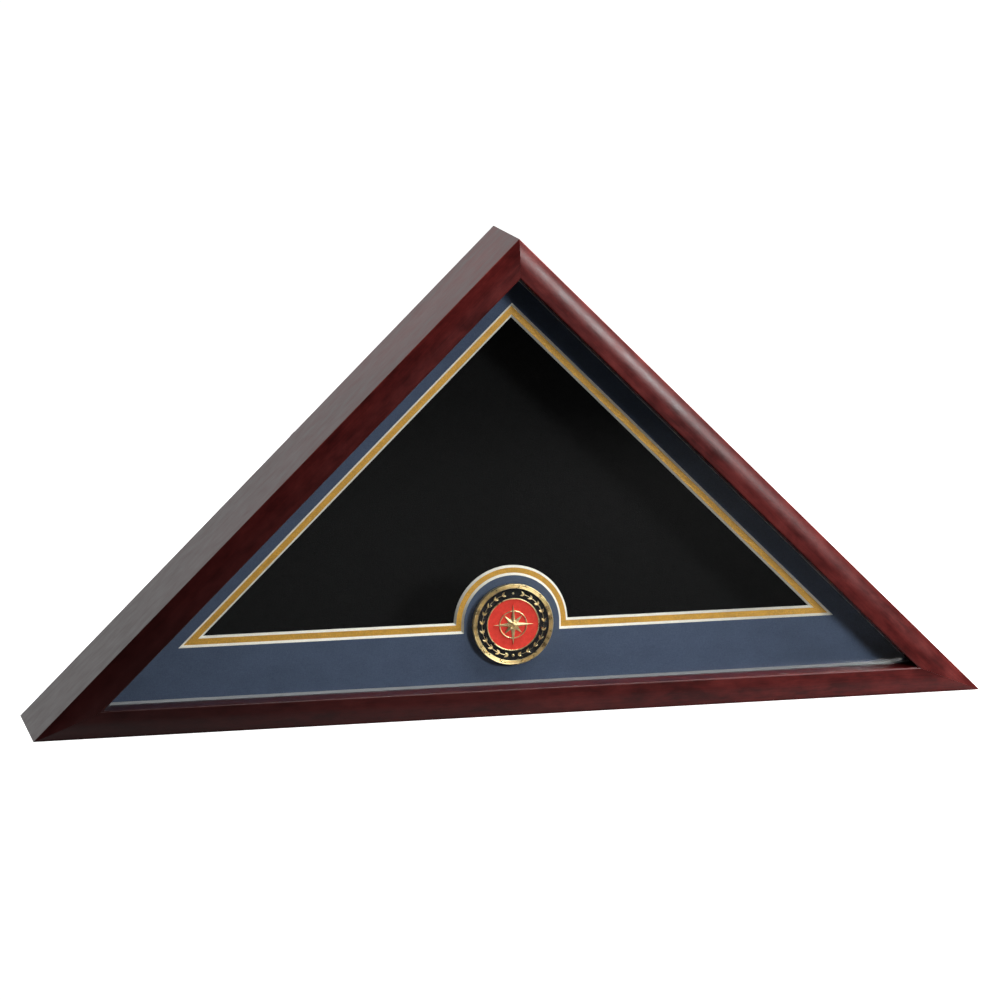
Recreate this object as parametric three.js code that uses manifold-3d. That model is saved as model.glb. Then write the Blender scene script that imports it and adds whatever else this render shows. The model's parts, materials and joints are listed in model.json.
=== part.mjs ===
// Triangular display case for a folded flag: three mitred rails, glazing, two bevel-cut mats with a
// medallion, a lined hollow, and a felted back door on two hinges, held shut by four turn buttons.
//
// Frame: millimetres, +Z up, +X to the right as seen from the front, the front face looks along -Y.
// The origin is the centre of the bottom rail's underside, on which the case stands.

import * as THREE from 'three';
import { mergeVertices } from 'three/addons/utils/BufferGeometryUtils.js';
import Module from 'manifold-3d';

// ---------------------------------------------------------------- driving dimensions

// Case
const CASE_WIDTH = 660.4;
const CASE_HEIGHT = 325.3;
const CASE_DEPTH = 79.4;

// Rail section: u runs inwards from the outer face, depth runs back from the front
const FACE_WIDTH = 19;
const WALL = 13;
const LIP_DEPTH = 15;
const CROWN_AT = 12.5;
const CROWN_DROP = 3;
const LIP_EDGE_RADIUS = 1.2;
const MITRE_GLUE = 0.06;

// Glazing and mats
const GLASS_THICKNESS = 2;
const SPACER_DEPTH = 8.4;
const MAT_THICKNESS = 1.5;
const TOP_MAT_SLOPE_INSET = 32.6;
const TOP_MAT_BASE_INSET = 53.6;
const TOP_MAT_ARCH_RADIUS = 33.4;
const UNDER_MAT_REVEAL = 4.1;
const UNDER_MAT_ARCH_REVEAL = 3.5;

// Medallion
const MEDALLION_RADIUS = 28.15;
const MEDALLION_THICKNESS = 4;
const MEDALLION_HEIGHT = 59.3;
const MEDALLION_RIM = 3.1;
const RED_FIELD_RADIUS = 17.6;
const PAD_THICKNESS = 1;
const PAD_RADIUS = 22;
const ENAMEL_DEPTH = 1.2;
const ENAMEL_BELOW_RIM = 0.7;
const FIELD_WALL = 0.7;
const FIELD_WALL_BELOW_RIM = 0.3;
const MEDALLION_BACK_EDGE = 0.4;
// The beads round the rim: [in from the edge, below the front]
const RIM_BEADS = [[0, 0.6], [0.7, 0], [1.4, 0.6], [1.7, 0.7], [2.2, 0.1], [2.7, 0.1]];
const EMBLEM_RADIUS = 14;
const EMBLEM_HEIGHT = 1.6;

// Back door and its lining
const DOOR_THICKNESS = 3.2;
const DOOR_SLOPE_GAP = 1.2;
const DOOR_BASE_GAP = 0.8;
const DOOR_CORNER_CLIP = 12;
const DOOR_TIP_CLIP = 6;
const DOOR_REST_GAP = 0.3;
const FELT_THICKNESS = 1.2;
const FELT_MARGIN = 1;

// Hinges
const HINGE_X = 180;
const HINGE_LENGTH = 30;
const HINGE_LEAF_WIDTH = 11;
const LEAF_THICKNESS = 1.2;
const KNUCKLE_RADIUS = 2.2;
const PIN_RADIUS = 0.9;
const PIN_HEAD_RADIUS = 1.6;
const PIN_OVERHANG = 1.2;
const HINGE_SCREW_SPACING = 18;

// Turn buttons, placed along the slopes as a share of the slope's length
const BUTTON_LENGTH = 24;
const BUTTON_WIDTH = 8;
const BUTTON_THICKNESS = 1.2;
const BUTTON_PLACES = { low: 0.28, high: 0.8 };

// D-ring hangers, at one place on each slope
const HANGER_PLACE = 0.58;
const STRAP_LENGTH = 20;
const STRAP_WIDTH = 7.6;
const STRAP_THICKNESS = 1;
const STRAP_BARREL = 6;
const STRAP_SCREW_SHARE = 0.6; // of the strap's length, from the ring's bar
const BARREL_WRAP_SHARE = 0.8; // of the strap's thickness, rolled round the bar
const RING_STANDOFF = 0.2; // between the ring and the strap's back
const RING_WIRE_RADIUS = 1;
const RING_HALF_WIDTH = 5;
const RING_LEG = 2.4;
const RING_CORNER = 1.6;

// Screws
const SCREW_HEAD_RADIUS = 2.6;
const SCREW_HEAD_HEIGHT = 1.6;
const SCREW_SHANK_RADIUS = 1.2;
const SCREW_LENGTH = 9;
const DOOR_SCREW_LENGTH = 3.2;
const SCREW_TIP_LENGTH = 2;
const SCREW_TIP_SHARE = 0.55; // of the shank's radius, half-way along the tip
const SCREW_HEAD_RIM_SHARE = 0.35; // of the head's height, below its dome

// Mitre nails: steel chevrons pressed into the back of each mitre
const NAIL_LEG = 4.4;
const NAIL_THICKNESS = 0.7;
const NAIL_DEPTH = 8;
const NAIL_PLACES = { outer: 0.45, inner: 0.75 };

// Clearances
const FILM = 0.05; // between flat sheets that lie against each other
const STRIP_GAP = 0.3; // between a strip and the wall that it is glued to, and at its mitres
const GLASS_GAP = 1; // round the glass
const MAT_GAP = 0.6; // round the mats
const POCKET_GAP = 0.3; // round a screw or nail in wood
const RUNNING_GAP = 0.3; // between metal pieces that turn past each other

// ---------------------------------------------------------------- derived places

const BACK = CASE_DEPTH / 2;
const FRONT = -BACK;
const GLASS_FRONT = FRONT + LIP_DEPTH + FILM;
const GLASS_BACK = GLASS_FRONT + GLASS_THICKNESS;
const MAT_FRONT = GLASS_BACK + SPACER_DEPTH;
const UNDER_MAT_FRONT = MAT_FRONT + MAT_THICKNESS + FILM;
const UNDER_MAT_BACK = UNDER_MAT_FRONT + MAT_THICKNESS;
const DOOR_FRONT = BACK - DOOR_THICKNESS;

const SLOPE_ANGLE = Math.atan2(CASE_HEIGHT, CASE_WIDTH / 2);
const SLOPE_LENGTH = Math.hypot(CASE_HEIGHT, CASE_WIDTH / 2);

// ---------------------------------------------------------------- finishes

const finish = (color, roughness, metalness = 0, opacity = 1) =>
  new THREE.MeshStandardMaterial({ color, roughness, metalness, opacity, transparent: opacity < 1 });

const CHERRY = finish(0x4a1512, 0.3);
const GLASS = finish(0xe8f0ee, 0.02, 0, 0.15);
const BLACK_STRIP = finish(0x16171a, 0.4);
const NAVY_MAT = finish(0x3c4b62, 0.9);
const GOLD_MAT = finish(0xb8892e, 0.7);
const BLACK_FELT = finish(0x0d0d0d, 1);
const BACKBOARD = finish(0x4b3325, 0.7);
const GOLD_METAL = finish(0xd8b45a, 0.25, 1);
const BLACK_ENAMEL = finish(0x08080a, 0.15);
const RED_ENAMEL = finish(0xe0342a, 0.2);
const FOAM_TAPE = finish(0xe8e6e0, 0.9);
const BRASS = finish(0xb08d46, 0.35, 1);
const ZINC = finish(0xa9abad, 0.35, 1);

// ---------------------------------------------------------------- mesh tools

const wasm = await Module();
wasm.setup();

// A closed mesh from loose triangles: shared corners are merged, and the faces are turned to point out.
function closedBody(geometry) {
  const bare = geometry.clone();
  bare.deleteAttribute('normal');
  bare.deleteAttribute('uv');
  const merged = mergeVertices(bare, 1e-3);
  const position = merged.attributes.position;
  const kept = [];
  let volume = 0;
  const [a, b, c] = [new THREE.Vector3(), new THREE.Vector3(), new THREE.Vector3()];
  for (let i = 0; i < merged.index.count; i += 3) {
    const corners = [0, 1, 2].map((k) => merged.index.getX(i + k));
    if (new Set(corners).size < 3) continue;
    kept.push(...corners);
    a.fromBufferAttribute(position, corners[0]);
    b.fromBufferAttribute(position, corners[1]);
    c.fromBufferAttribute(position, corners[2]);
    volume += a.dot(b.cross(c));
  }
  if (volume < 0) kept.reverse();
  merged.setIndex(kept);
  merged.computeVertexNormals();
  return merged;
}

function toSolid(geometry) {
  const closed = closedBody(geometry);
  return new wasm.Manifold(new wasm.Mesh({
    numProp: 3,
    vertProperties: closed.attributes.position.array,
    triVerts: new Uint32Array(closed.index.array),
  }));
}

function toGeometry(solid) {
  const mesh = solid.getMesh();
  const geometry = new THREE.BufferGeometry();
  geometry.setAttribute('position', new THREE.BufferAttribute(mesh.vertProperties, 3));
  geometry.setIndex(Array.from(mesh.triVerts));
  geometry.computeVertexNormals();
  return geometry;
}

const joined = (pieces) => toGeometry(pieces.map(toSolid).reduce((all, piece) => all.add(piece)));

const cut = (geometry, cutters) =>
  cutters.length ? toGeometry(cutters.map(toSolid).reduce((all, c) => all.subtract(c), toSolid(geometry))) : geometry;

// Straight walls between two loops of the same outline, with both ends closed.
function bridge(startLoop, endLoop, outline) {
  const count = startLoop.length;
  const faces = [];
  for (let i = 0; i < count; i += 1) {
    const next = (i + 1) % count;
    faces.push(i, next, count + next, i, count + next, count + i);
  }
  for (const [p, q, r] of THREE.ShapeUtils.triangulateShape(outline, [])) {
    faces.push(r, q, p, count + p, count + q, count + r);
  }
  const geometry = new THREE.BufferGeometry();
  geometry.setAttribute('position', new THREE.Float32BufferAttribute(
    [...startLoop, ...endLoop].flatMap((p) => p.toArray()), 3));
  geometry.setIndex(faces);
  return closedBody(geometry);
}

// A flat piece from an outline in the X-Z plane, between two depths.
function plate(shape, front, back, curveSegments = 8) {
  const geometry = new THREE.ExtrudeGeometry(shape, { depth: back - front, bevelEnabled: false, curveSegments });
  return closedBody(geometry.rotateX(Math.PI / 2).translate(0, back, 0));
}

// A turned piece about a line along Y: profile points are [radius, depth].
const turned = (profile, x, z, segments) =>
  closedBody(new THREE.LatheGeometry(profile.map((p) => new THREE.Vector2(...p)), segments).translate(x, 0, z));

const rod = (radius, from, to, x, z, sides = 16) =>
  turned([[0, from], [radius, from], [radius, to], [0, to]], x, z, sides);

const block = (low, high) => new THREE.BoxGeometry(high[0] - low[0], high[1] - low[1], high[2] - low[2])
  .translate((low[0] + high[0]) / 2, (low[1] + high[1]) / 2, (low[2] + high[2]) / 2);

// A rod along X.
const crossRod = (radius, from, to, y, z, sides = 32) => new THREE.CylinderGeometry(radius, radius, to - from, sides)
  .rotateZ(Math.PI / 2).translate((from + to) / 2, y, z);

// ---------------------------------------------------------------- the triangle and its rails

// Corners of the case's triangle moved inwards, square to its slopes and its base.
function corners(slopeInset, baseInset = slopeInset) {
  const half = CASE_WIDTH / 2 - slopeInset / Math.sin(SLOPE_ANGLE) - baseInset / Math.tan(SLOPE_ANGLE);
  return {
    left: new THREE.Vector2(-half, baseInset),
    right: new THREE.Vector2(half, baseInset),
    apex: new THREE.Vector2(0, CASE_HEIGHT - slopeInset / Math.cos(SLOPE_ANGLE)),
  };
}

const HALF_BASE_CORNER = SLOPE_ANGLE / 2;
const HALF_APEX = Math.PI / 2 - SLOPE_ANGLE;

const SIDES = {
  bottom: { from: 'left', to: 'right' },
  left: { from: 'left', to: 'apex' },
  right: { from: 'right', to: 'apex' },
};

// A bar along one side of the triangle, mitred at both ends. Its section's points are [u, depth].
function mitredBar(side, section, mitreGap) {
  const { from, to } = SIDES[side];
  const backOff = (end) => mitreGap / 2 / Math.sin(end === 'apex' ? HALF_APEX : HALF_BASE_CORNER);
  const loop = (end, other) => section.map(([u, y]) => {
    const place = corners(u);
    const along = place[other].clone().sub(place[end]).normalize();
    const point = place[end].clone().addScaledVector(along, backOff(end));
    return new THREE.Vector3(point.x, y, point.y);
  });
  return bridge(loop(from, to), loop(to, from), section.map((p) => new THREE.Vector2(...p)));
}

// Points of an arc, [u, depth], from one angle to another.
const arcPoints = (u, y, radius, from, to, steps) => Array.from({ length: steps + 1 }, (_, i) => {
  const angle = from + (to - from) * i / steps;
  return [u + radius * Math.cos(angle), y + radius * Math.sin(angle)];
});

// The rail's face is a shallow arc from a crisp outer edge up to the crown, then flat to a rounded lip edge.
const CROWN_RADIUS = (CROWN_AT ** 2 + CROWN_DROP ** 2) / (2 * CROWN_DROP);
const CROWN_ANGLE = Math.asin(CROWN_AT / CROWN_RADIUS);
const RAIL_SECTION = [
  [0, BACK],
  ...arcPoints(CROWN_AT, FRONT + CROWN_RADIUS, CROWN_RADIUS, -Math.PI / 2 - CROWN_ANGLE, -Math.PI / 2, 16),
  ...arcPoints(FACE_WIDTH - LIP_EDGE_RADIUS, FRONT + LIP_EDGE_RADIUS, LIP_EDGE_RADIUS, -Math.PI / 2, 0, 8),
  [FACE_WIDTH, FRONT + LIP_DEPTH],
  [WALL, FRONT + LIP_DEPTH],
  [WALL, BACK],
];

const stripSection = (front, back) => [
  [WALL + STRIP_GAP, front],
  [FACE_WIDTH, front],
  [FACE_WIDTH, back],
  [WALL + STRIP_GAP, back],
];

// A point on a slope's rim: how far along from the base corner, and how far in from the outer face.
function onSlope(side, share, u) {
  const sign = side === 'left' ? -1 : 1;
  const along = share * SLOPE_LENGTH;
  return {
    x: sign * (CASE_WIDTH / 2 - along * Math.cos(SLOPE_ANGLE) - u * Math.sin(SLOPE_ANGLE)),
    z: along * Math.sin(SLOPE_ANGLE) - u * Math.cos(SLOPE_ANGLE),
  };
}

// The turn about Y that lays a piece drawn along +X down along a slope, towards the base corner.
const downSlope = (side) => (side === 'left' ? Math.PI - SLOPE_ANGLE : SLOPE_ANGLE);

const placed = (geometry, turn, { x, z }) => closedBody(geometry.clone().rotateY(turn).translate(x, 0, z));

// ---------------------------------------------------------------- screws

// A pan-head screw along Y, its head seated at a depth and pointing back.
function screw(x, z, seat, length) {
  const head = Array.from({ length: 4 }, (_, i) => {
    const angle = (i + 1) * Math.PI / 8;
    const rise = SCREW_HEAD_RIM_SHARE + (1 - SCREW_HEAD_RIM_SHARE) * Math.sin(angle);
    return [SCREW_HEAD_RADIUS * Math.cos(angle), seat + SCREW_HEAD_HEIGHT * rise];
  });
  return turned([
    [0, seat - length],
    [SCREW_SHANK_RADIUS * SCREW_TIP_SHARE, seat - length + SCREW_TIP_LENGTH / 2],
    [SCREW_SHANK_RADIUS, seat - length + SCREW_TIP_LENGTH],
    [SCREW_SHANK_RADIUS, seat],
    [SCREW_HEAD_RADIUS, seat],
    [SCREW_HEAD_RADIUS, seat + SCREW_HEAD_HEIGHT * SCREW_HEAD_RIM_SHARE],
    ...head.slice(0, 3),
    [0, seat + SCREW_HEAD_HEIGHT],
  ], x, z, 14);
}

// The hole for a screw that enters wood at a surface.
const pilotHole = (x, z, surface, depth) => rod(SCREW_SHANK_RADIUS + POCKET_GAP, surface - depth, surface + 1, x, z, 12);

// ---------------------------------------------------------------- part list

const pieces = [];
const add = (name, geometry, material) => pieces.push({ name, geometry, material });

// Cuts that pieces of hardware need in the wood they are fixed to.
const cuts = { rail_bottom: [], rail_left: [], rail_right: [], back_door: [] };

// ---------------------------------------------------------------- hinges

const HINGE_Y = BACK + KNUCKLE_RADIUS + RUNNING_GAP;
const HINGE_Z = WALL + DOOR_BASE_GAP / 2;

// One leaf: a plate on the wood, with its share of the knuckles. The plate lies below or above the pin.
function hingeLeaf(centreX, isDoorLeaf) {
  const up = isDoorLeaf ? 1 : -1;
  const third = HINGE_LENGTH / 3;
  const half = HINGE_LENGTH / 2;
  const spans = isDoorLeaf
    ? [[-third / 2 + RUNNING_GAP / 2, third / 2 - RUNNING_GAP / 2]]
    : [[-half, -third / 2 - RUNNING_GAP / 2], [third / 2 + RUNNING_GAP / 2, half]];
  const between = (a, b) => [Math.min(a, b), Math.max(a, b)];
  const edge = KNUCKLE_RADIUS + 2 * RUNNING_GAP;
  const [plateLow, plateHigh] = between(HINGE_Z + up * edge, HINGE_Z + up * HINGE_LEAF_WIDTH);
  const [tongueLow, tongueHigh] = between(HINGE_Z, HINGE_Z + up * (edge + 1));
  const back = BACK + LEAF_THICKNESS;
  const bodies = [block([centreX - half, BACK, plateLow], [centreX + half, back, plateHigh])];
  for (const [from, to] of spans) {
    bodies.push(block([centreX + from, BACK, tongueLow], [centreX + to, back, tongueHigh]));
    bodies.push(crossRod(KNUCKLE_RADIUS, centreX + from, centreX + to, HINGE_Y, HINGE_Z));
  }
  const bore = crossRod(PIN_RADIUS + RUNNING_GAP, centreX - half - 1, centreX + half + 1, HINGE_Y, HINGE_Z, 16);
  const holes = hingeScrewPlaces(centreX, isDoorLeaf)
    .map(({ x, z }) => rod(SCREW_SHANK_RADIUS + POCKET_GAP, BACK - 1, back + 1, x, z, 12));
  return cut(joined(bodies), [bore, ...holes]);
}

function hingeScrewPlaces(centreX, isDoorLeaf) {
  const z = HINGE_Z + (isDoorLeaf ? 1 : -1) * (HINGE_LEAF_WIDTH + KNUCKLE_RADIUS) / 2;
  return [-1, 1].map((way) => ({ x: centreX + way * HINGE_SCREW_SPACING / 2, z }));
}

// The pin has a small round head past each end of the knuckles.
function hingePin(centreX) {
  const half = HINGE_LENGTH / 2;
  const end = half + PIN_OVERHANG;
  return joined([
    crossRod(PIN_RADIUS, centreX - end, centreX + end, HINGE_Y, HINGE_Z, 12),
    crossRod(PIN_HEAD_RADIUS, centreX - end, centreX - half - RUNNING_GAP, HINGE_Y, HINGE_Z, 12),
    crossRod(PIN_HEAD_RADIUS, centreX + half + RUNNING_GAP, centreX + end, HINGE_Y, HINGE_Z, 12),
  ]);
}

for (const [side, centreX] of [['left', -HINGE_X], ['right', HINGE_X]]) {
  add(`hinge_${side}_rail_leaf`, hingeLeaf(centreX, false), BRASS);
  add(`hinge_${side}_door_leaf`, hingeLeaf(centreX, true), BRASS);
  add(`hinge_${side}_pin`, hingePin(centreX), BRASS);
  for (const part of ['rail', 'door']) {
    const onDoor = part === 'door';
    const wood = onDoor ? 'back_door' : 'rail_bottom';
    const length = onDoor ? DOOR_SCREW_LENGTH : SCREW_LENGTH;
    hingeScrewPlaces(centreX, onDoor).forEach(({ x, z }, i) => {
      add(`hinge_${side}_${part}_screw_${i + 1}`, screw(x, z, BACK + LEAF_THICKNESS, length), BRASS);
      cuts[wood].push(pilotHole(x, z, BACK, length - LEAF_THICKNESS + POCKET_GAP));
    });
  }
}

// ---------------------------------------------------------------- turn buttons

// A bar with round ends and a hole, drawn along +X from its pivot.
function turnButton() {
  const end = BUTTON_WIDTH / 2;
  const reach = BUTTON_LENGTH - BUTTON_WIDTH;
  const shape = new THREE.Shape();
  shape.absarc(0, 0, end, Math.PI / 2, -Math.PI / 2 + 2 * Math.PI, false);
  shape.absarc(reach, 0, end, -Math.PI / 2, Math.PI / 2, false);
  shape.closePath();
  shape.holes.push(new THREE.Path().absarc(0, 0, SCREW_SHANK_RADIUS + 2 * RUNNING_GAP, 0, 2 * Math.PI, true));
  const front = BACK + RUNNING_GAP;
  return plate(shape, front, front + BUTTON_THICKNESS, 16);
}

for (const side of ['left', 'right']) {
  for (const [height, share] of Object.entries(BUTTON_PLACES)) {
    const pivot = onSlope(side, share, WALL / 2);
    const seat = BACK + BUTTON_THICKNESS + 2 * RUNNING_GAP;
    add(`turn_button_${side}_${height}`, placed(turnButton(), downSlope(side), pivot), BRASS);
    add(`turn_button_${side}_${height}_screw`, screw(pivot.x, pivot.z, seat, SCREW_LENGTH + seat - BACK), BRASS);
    cuts[`rail_${side}`].push(pilotHole(pivot.x, pivot.z, BACK, SCREW_LENGTH + POCKET_GAP));
  }
}

// ---------------------------------------------------------------- D-ring hangers

const RING_Y = BACK + RING_WIRE_RADIUS + RUNNING_GAP + STRAP_THICKNESS + RING_STANDOFF;
const BARREL_RADIUS = RING_WIRE_RADIUS + RUNNING_GAP + STRAP_THICKNESS * BARREL_WRAP_SHARE;
const STRAP_SCREW_X = -STRAP_LENGTH * STRAP_SCREW_SHARE;

// The strap is drawn along -X from the ring's bar, with a rolled barrel round the bar at X = 0.
function strap() {
  const back = BACK + STRAP_THICKNESS;
  const bar = (radius, length) => new THREE.CylinderGeometry(radius, radius, length, 20)
    .rotateX(Math.PI / 2).translate(0, RING_Y, 0);
  const shape = new THREE.Shape();
  const half = STRAP_WIDTH / 2;
  const end = -STRAP_LENGTH + half;
  shape.moveTo(end, half);
  shape.absarc(end, 0, half, Math.PI / 2, 3 * Math.PI / 2, false);
  shape.lineTo(-BARREL_RADIUS - 1, -half);
  shape.lineTo(-BARREL_RADIUS, -STRAP_BARREL / 2);
  shape.lineTo(0, -STRAP_BARREL / 2);
  shape.lineTo(0, STRAP_BARREL / 2);
  shape.lineTo(-BARREL_RADIUS, STRAP_BARREL / 2);
  shape.lineTo(-BARREL_RADIUS - 1, half);
  shape.closePath();
  const body = joined([plate(shape, BACK, back, 6), bar(BARREL_RADIUS, STRAP_BARREL)]);
  const hole = rod(SCREW_SHANK_RADIUS + POCKET_GAP, BACK - 1, back + 1, STRAP_SCREW_X, 0, 12);
  return cut(body, [bar(RING_WIRE_RADIUS + RUNNING_GAP, STRAP_BARREL + 2), hole]);
}

// The D-shaped ring: a straight bar across X = 0 and a round end towards +X.
function dRing() {
  const path = new THREE.Path();
  const bar = RING_HALF_WIDTH - RING_CORNER;
  path.moveTo(0, -bar);
  path.lineTo(0, bar);
  path.absarc(RING_CORNER, bar, RING_CORNER, Math.PI, Math.PI / 2, true);
  path.lineTo(RING_CORNER + RING_LEG, RING_HALF_WIDTH);
  path.absarc(RING_CORNER + RING_LEG, 0, RING_HALF_WIDTH, Math.PI / 2, -Math.PI / 2, true);
  path.lineTo(RING_CORNER, -RING_HALF_WIDTH);
  path.absarc(RING_CORNER, -bar, RING_CORNER, -Math.PI / 2, -Math.PI, true);
  const points = path.getPoints(7).filter((p, i, all) => i === 0 || p.distanceTo(all[i - 1]) > 0.1);
  if (points[0].distanceTo(points.at(-1)) < 0.1) points.pop();
  return closedTube(points, RING_WIRE_RADIUS, 14);
}

// A tube round a closed flat loop of points in the X-Z plane.
function closedTube(points, radius, sides) {
  const count = points.length;
  const positions = [];
  const faces = [];
  points.forEach((point, i) => {
    const before = points[(i + count - 1) % count];
    const after = points[(i + 1) % count];
    const inTo = point.clone().sub(before).normalize();
    const outOf = after.clone().sub(point).normalize();
    const along = inTo.clone().add(outOf).normalize();
    const stretch = 1 / Math.max(0.5, along.dot(outOf));
    for (let k = 0; k < sides; k += 1) {
      const angle = 2 * Math.PI * k / sides;
      const out = radius * Math.cos(angle) * stretch;
      positions.push(point.x + along.y * out, RING_Y + radius * Math.sin(angle), point.y - along.x * out);
      const a = i * sides + k;
      const b = i * sides + (k + 1) % sides;
      const c = ((i + 1) % count) * sides + (k + 1) % sides;
      const d = ((i + 1) % count) * sides + k;
      faces.push(a, b, c, a, c, d);
    }
  });
  const geometry = new THREE.BufferGeometry();
  geometry.setAttribute('position', new THREE.Float32BufferAttribute(positions, 3));
  geometry.setIndex(faces);
  return closedBody(geometry);
}

for (const side of ['left', 'right']) {
  const pivot = onSlope(side, HANGER_PLACE, WALL / 2);
  const turn = downSlope(side);
  const screwAt = new THREE.Vector3(STRAP_SCREW_X, 0, 0).applyAxisAngle(new THREE.Vector3(0, 1, 0), turn);
  const [x, z] = [pivot.x + screwAt.x, pivot.z + screwAt.z];
  add(`hanger_${side}_strap`, placed(strap(), turn, pivot), ZINC);
  add(`hanger_${side}_ring`, placed(dRing(), turn, pivot), ZINC);
  add(`hanger_${side}_screw`, screw(x, z, BACK + STRAP_THICKNESS, SCREW_LENGTH), ZINC);
  cuts[`rail_${side}`].push(pilotHole(x, z, BACK, SCREW_LENGTH - STRAP_THICKNESS + POCKET_GAP));
}

// ---------------------------------------------------------------- mitre nails

// A chevron that straddles the mitre: its point lies towards the case's outer corner.
function chevron(corner, share, spread, front) {
  const outer = corners(0)[corner];
  const inner = corners(WALL)[corner];
  const along = inner.clone().sub(outer);
  const tip = outer.clone().addScaledVector(along, share);
  along.normalize();
  const across = new THREE.Vector2(-along.y, along.x);
  const at = (forward, sideways) => tip.clone().addScaledVector(along, forward).addScaledVector(across, sideways);
  const leg = NAIL_LEG / Math.SQRT2 + spread;
  const thick = NAIL_THICKNESS * Math.SQRT2;
  const wide = thick + spread * Math.SQRT2;
  return plate(new THREE.Shape([
    at(-wide + thick, 0),
    at(leg - wide / 2, -leg - wide / 2),
    at(leg + thick / 2 + spread / 2, -leg + thick / 2 - spread / 2),
    at(wide, 0),
    at(leg + thick / 2 + spread / 2, leg - thick / 2 + spread / 2),
    at(leg - wide / 2, leg + wide / 2),
  ]), front, BACK + (spread ? 1 : 0));
}

for (const [corner, neighbours] of [['left', ['bottom', 'left']], ['right', ['bottom', 'right']], ['apex', ['left', 'right']]]) {
  for (const [where, share] of Object.entries(NAIL_PLACES)) {
    add(`mitre_nail_${corner}_${where}`, chevron(corner, share, 0, BACK - NAIL_DEPTH), ZINC);
    for (const side of neighbours) {
      cuts[`rail_${side}`].push(chevron(corner, share, POCKET_GAP, BACK - NAIL_DEPTH - POCKET_GAP));
    }
  }
}

// ---------------------------------------------------------------- rails, strips and glass

for (const side of Object.keys(SIDES)) {
  add(`rail_${side}`, cut(mitredBar(side, RAIL_SECTION, MITRE_GLUE), cuts[`rail_${side}`]), CHERRY);
  add(`spacer_${side}`, mitredBar(side, stripSection(GLASS_BACK + FILM, MAT_FRONT - FILM), STRIP_GAP), BLACK_STRIP);
  const linerBack = DOOR_FRONT - DOOR_REST_GAP;
  add(`liner_${side}`, mitredBar(side, stripSection(UNDER_MAT_BACK + FILM, linerBack), STRIP_GAP), BLACK_FELT);
}

const outline = ({ left, right, apex }) => [left, right, apex];

add('glass_pane', plate(new THREE.Shape(outline(corners(WALL + GLASS_GAP))), GLASS_FRONT, GLASS_BACK), GLASS);

// ---------------------------------------------------------------- mats

// The opening in a mat: a triangle whose base rises over the medallion in an arch.
function matOpening(slopeInset, baseInset, archRadius) {
  const { left, right, apex } = corners(slopeInset, baseInset);
  const arch = arcPoints(0, MEDALLION_HEIGHT, archRadius, Math.PI, 0, 48).map((p) => new THREE.Vector2(...p));
  const foot = (x) => new THREE.Vector2(x, baseInset);
  return [left, foot(-archRadius), ...arch, foot(archRadius), right, apex];
}

// A mat board with its opening cut at 45 degrees, smaller at the back.
function mat(front, slopeInset, baseInset, archRadius) {
  const edge = outline(corners(WALL + MAT_GAP));
  const hole = matOpening(slopeInset, baseInset, archRadius);
  const backHole = matOpening(slopeInset + MAT_THICKNESS, baseInset + MAT_THICKNESS, archRadius + MAT_THICKNESS);
  const back = front + MAT_THICKNESS;
  const positions = [
    ...edge.map((p) => [p.x, front, p.y]),
    ...hole.map((p) => [p.x, front, p.y]),
    ...edge.map((p) => [p.x, back, p.y]),
    ...backHole.map((p) => [p.x, back, p.y]),
  ];
  const layer = edge.length + hole.length;
  const faces = [];
  for (const [a, b, c] of THREE.ShapeUtils.triangulateShape([...edge], [[...hole]])) faces.push(a, b, c);
  for (const [a, b, c] of THREE.ShapeUtils.triangulateShape([...edge], [[...backHole]])) {
    faces.push(layer + c, layer + b, layer + a);
  }
  const wall = (first, count, way) => {
    for (let i = 0; i < count; i += 1) {
      const p = first + i;
      const q = first + (i + 1) % count;
      faces.push(...(way ? [p, layer + p, q, q, layer + p, layer + q] : [p, q, layer + p, q, layer + q, layer + p]));
    }
  };
  wall(0, edge.length, true);
  wall(edge.length, hole.length, false);
  const geometry = new THREE.BufferGeometry();
  geometry.setAttribute('position', new THREE.Float32BufferAttribute(positions.flat(), 3));
  geometry.setIndex(faces);
  return closedBody(geometry);
}

const underInset = MAT_THICKNESS + UNDER_MAT_REVEAL;
add('top_mat', mat(MAT_FRONT, TOP_MAT_SLOPE_INSET, TOP_MAT_BASE_INSET, TOP_MAT_ARCH_RADIUS), NAVY_MAT);
add('under_mat', mat(
  UNDER_MAT_FRONT,
  TOP_MAT_SLOPE_INSET + underInset,
  TOP_MAT_BASE_INSET + underInset,
  TOP_MAT_ARCH_RADIUS + MAT_THICKNESS + UNDER_MAT_ARCH_REVEAL,
), GOLD_MAT);

// ---------------------------------------------------------------- medallion

const PAD_FRONT = MAT_FRONT - FILM - PAD_THICKNESS;
const DISC_BACK = PAD_FRONT - FILM;
const DISC_FRONT = DISC_BACK - MEDALLION_THICKNESS;
const ENAMEL_FRONT = DISC_FRONT + ENAMEL_BELOW_RIM;
const ENAMEL_FLOOR = ENAMEL_FRONT + ENAMEL_DEPTH;
const RING_OUTER = MEDALLION_RADIUS - MEDALLION_RIM;
const RING_INNER = RED_FIELD_RADIUS + FIELD_WALL;

add('medallion_pad', rod(PAD_RADIUS, PAD_FRONT, MAT_FRONT - FILM, 0, MEDALLION_HEIGHT, 32), FOAM_TAPE);

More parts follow.
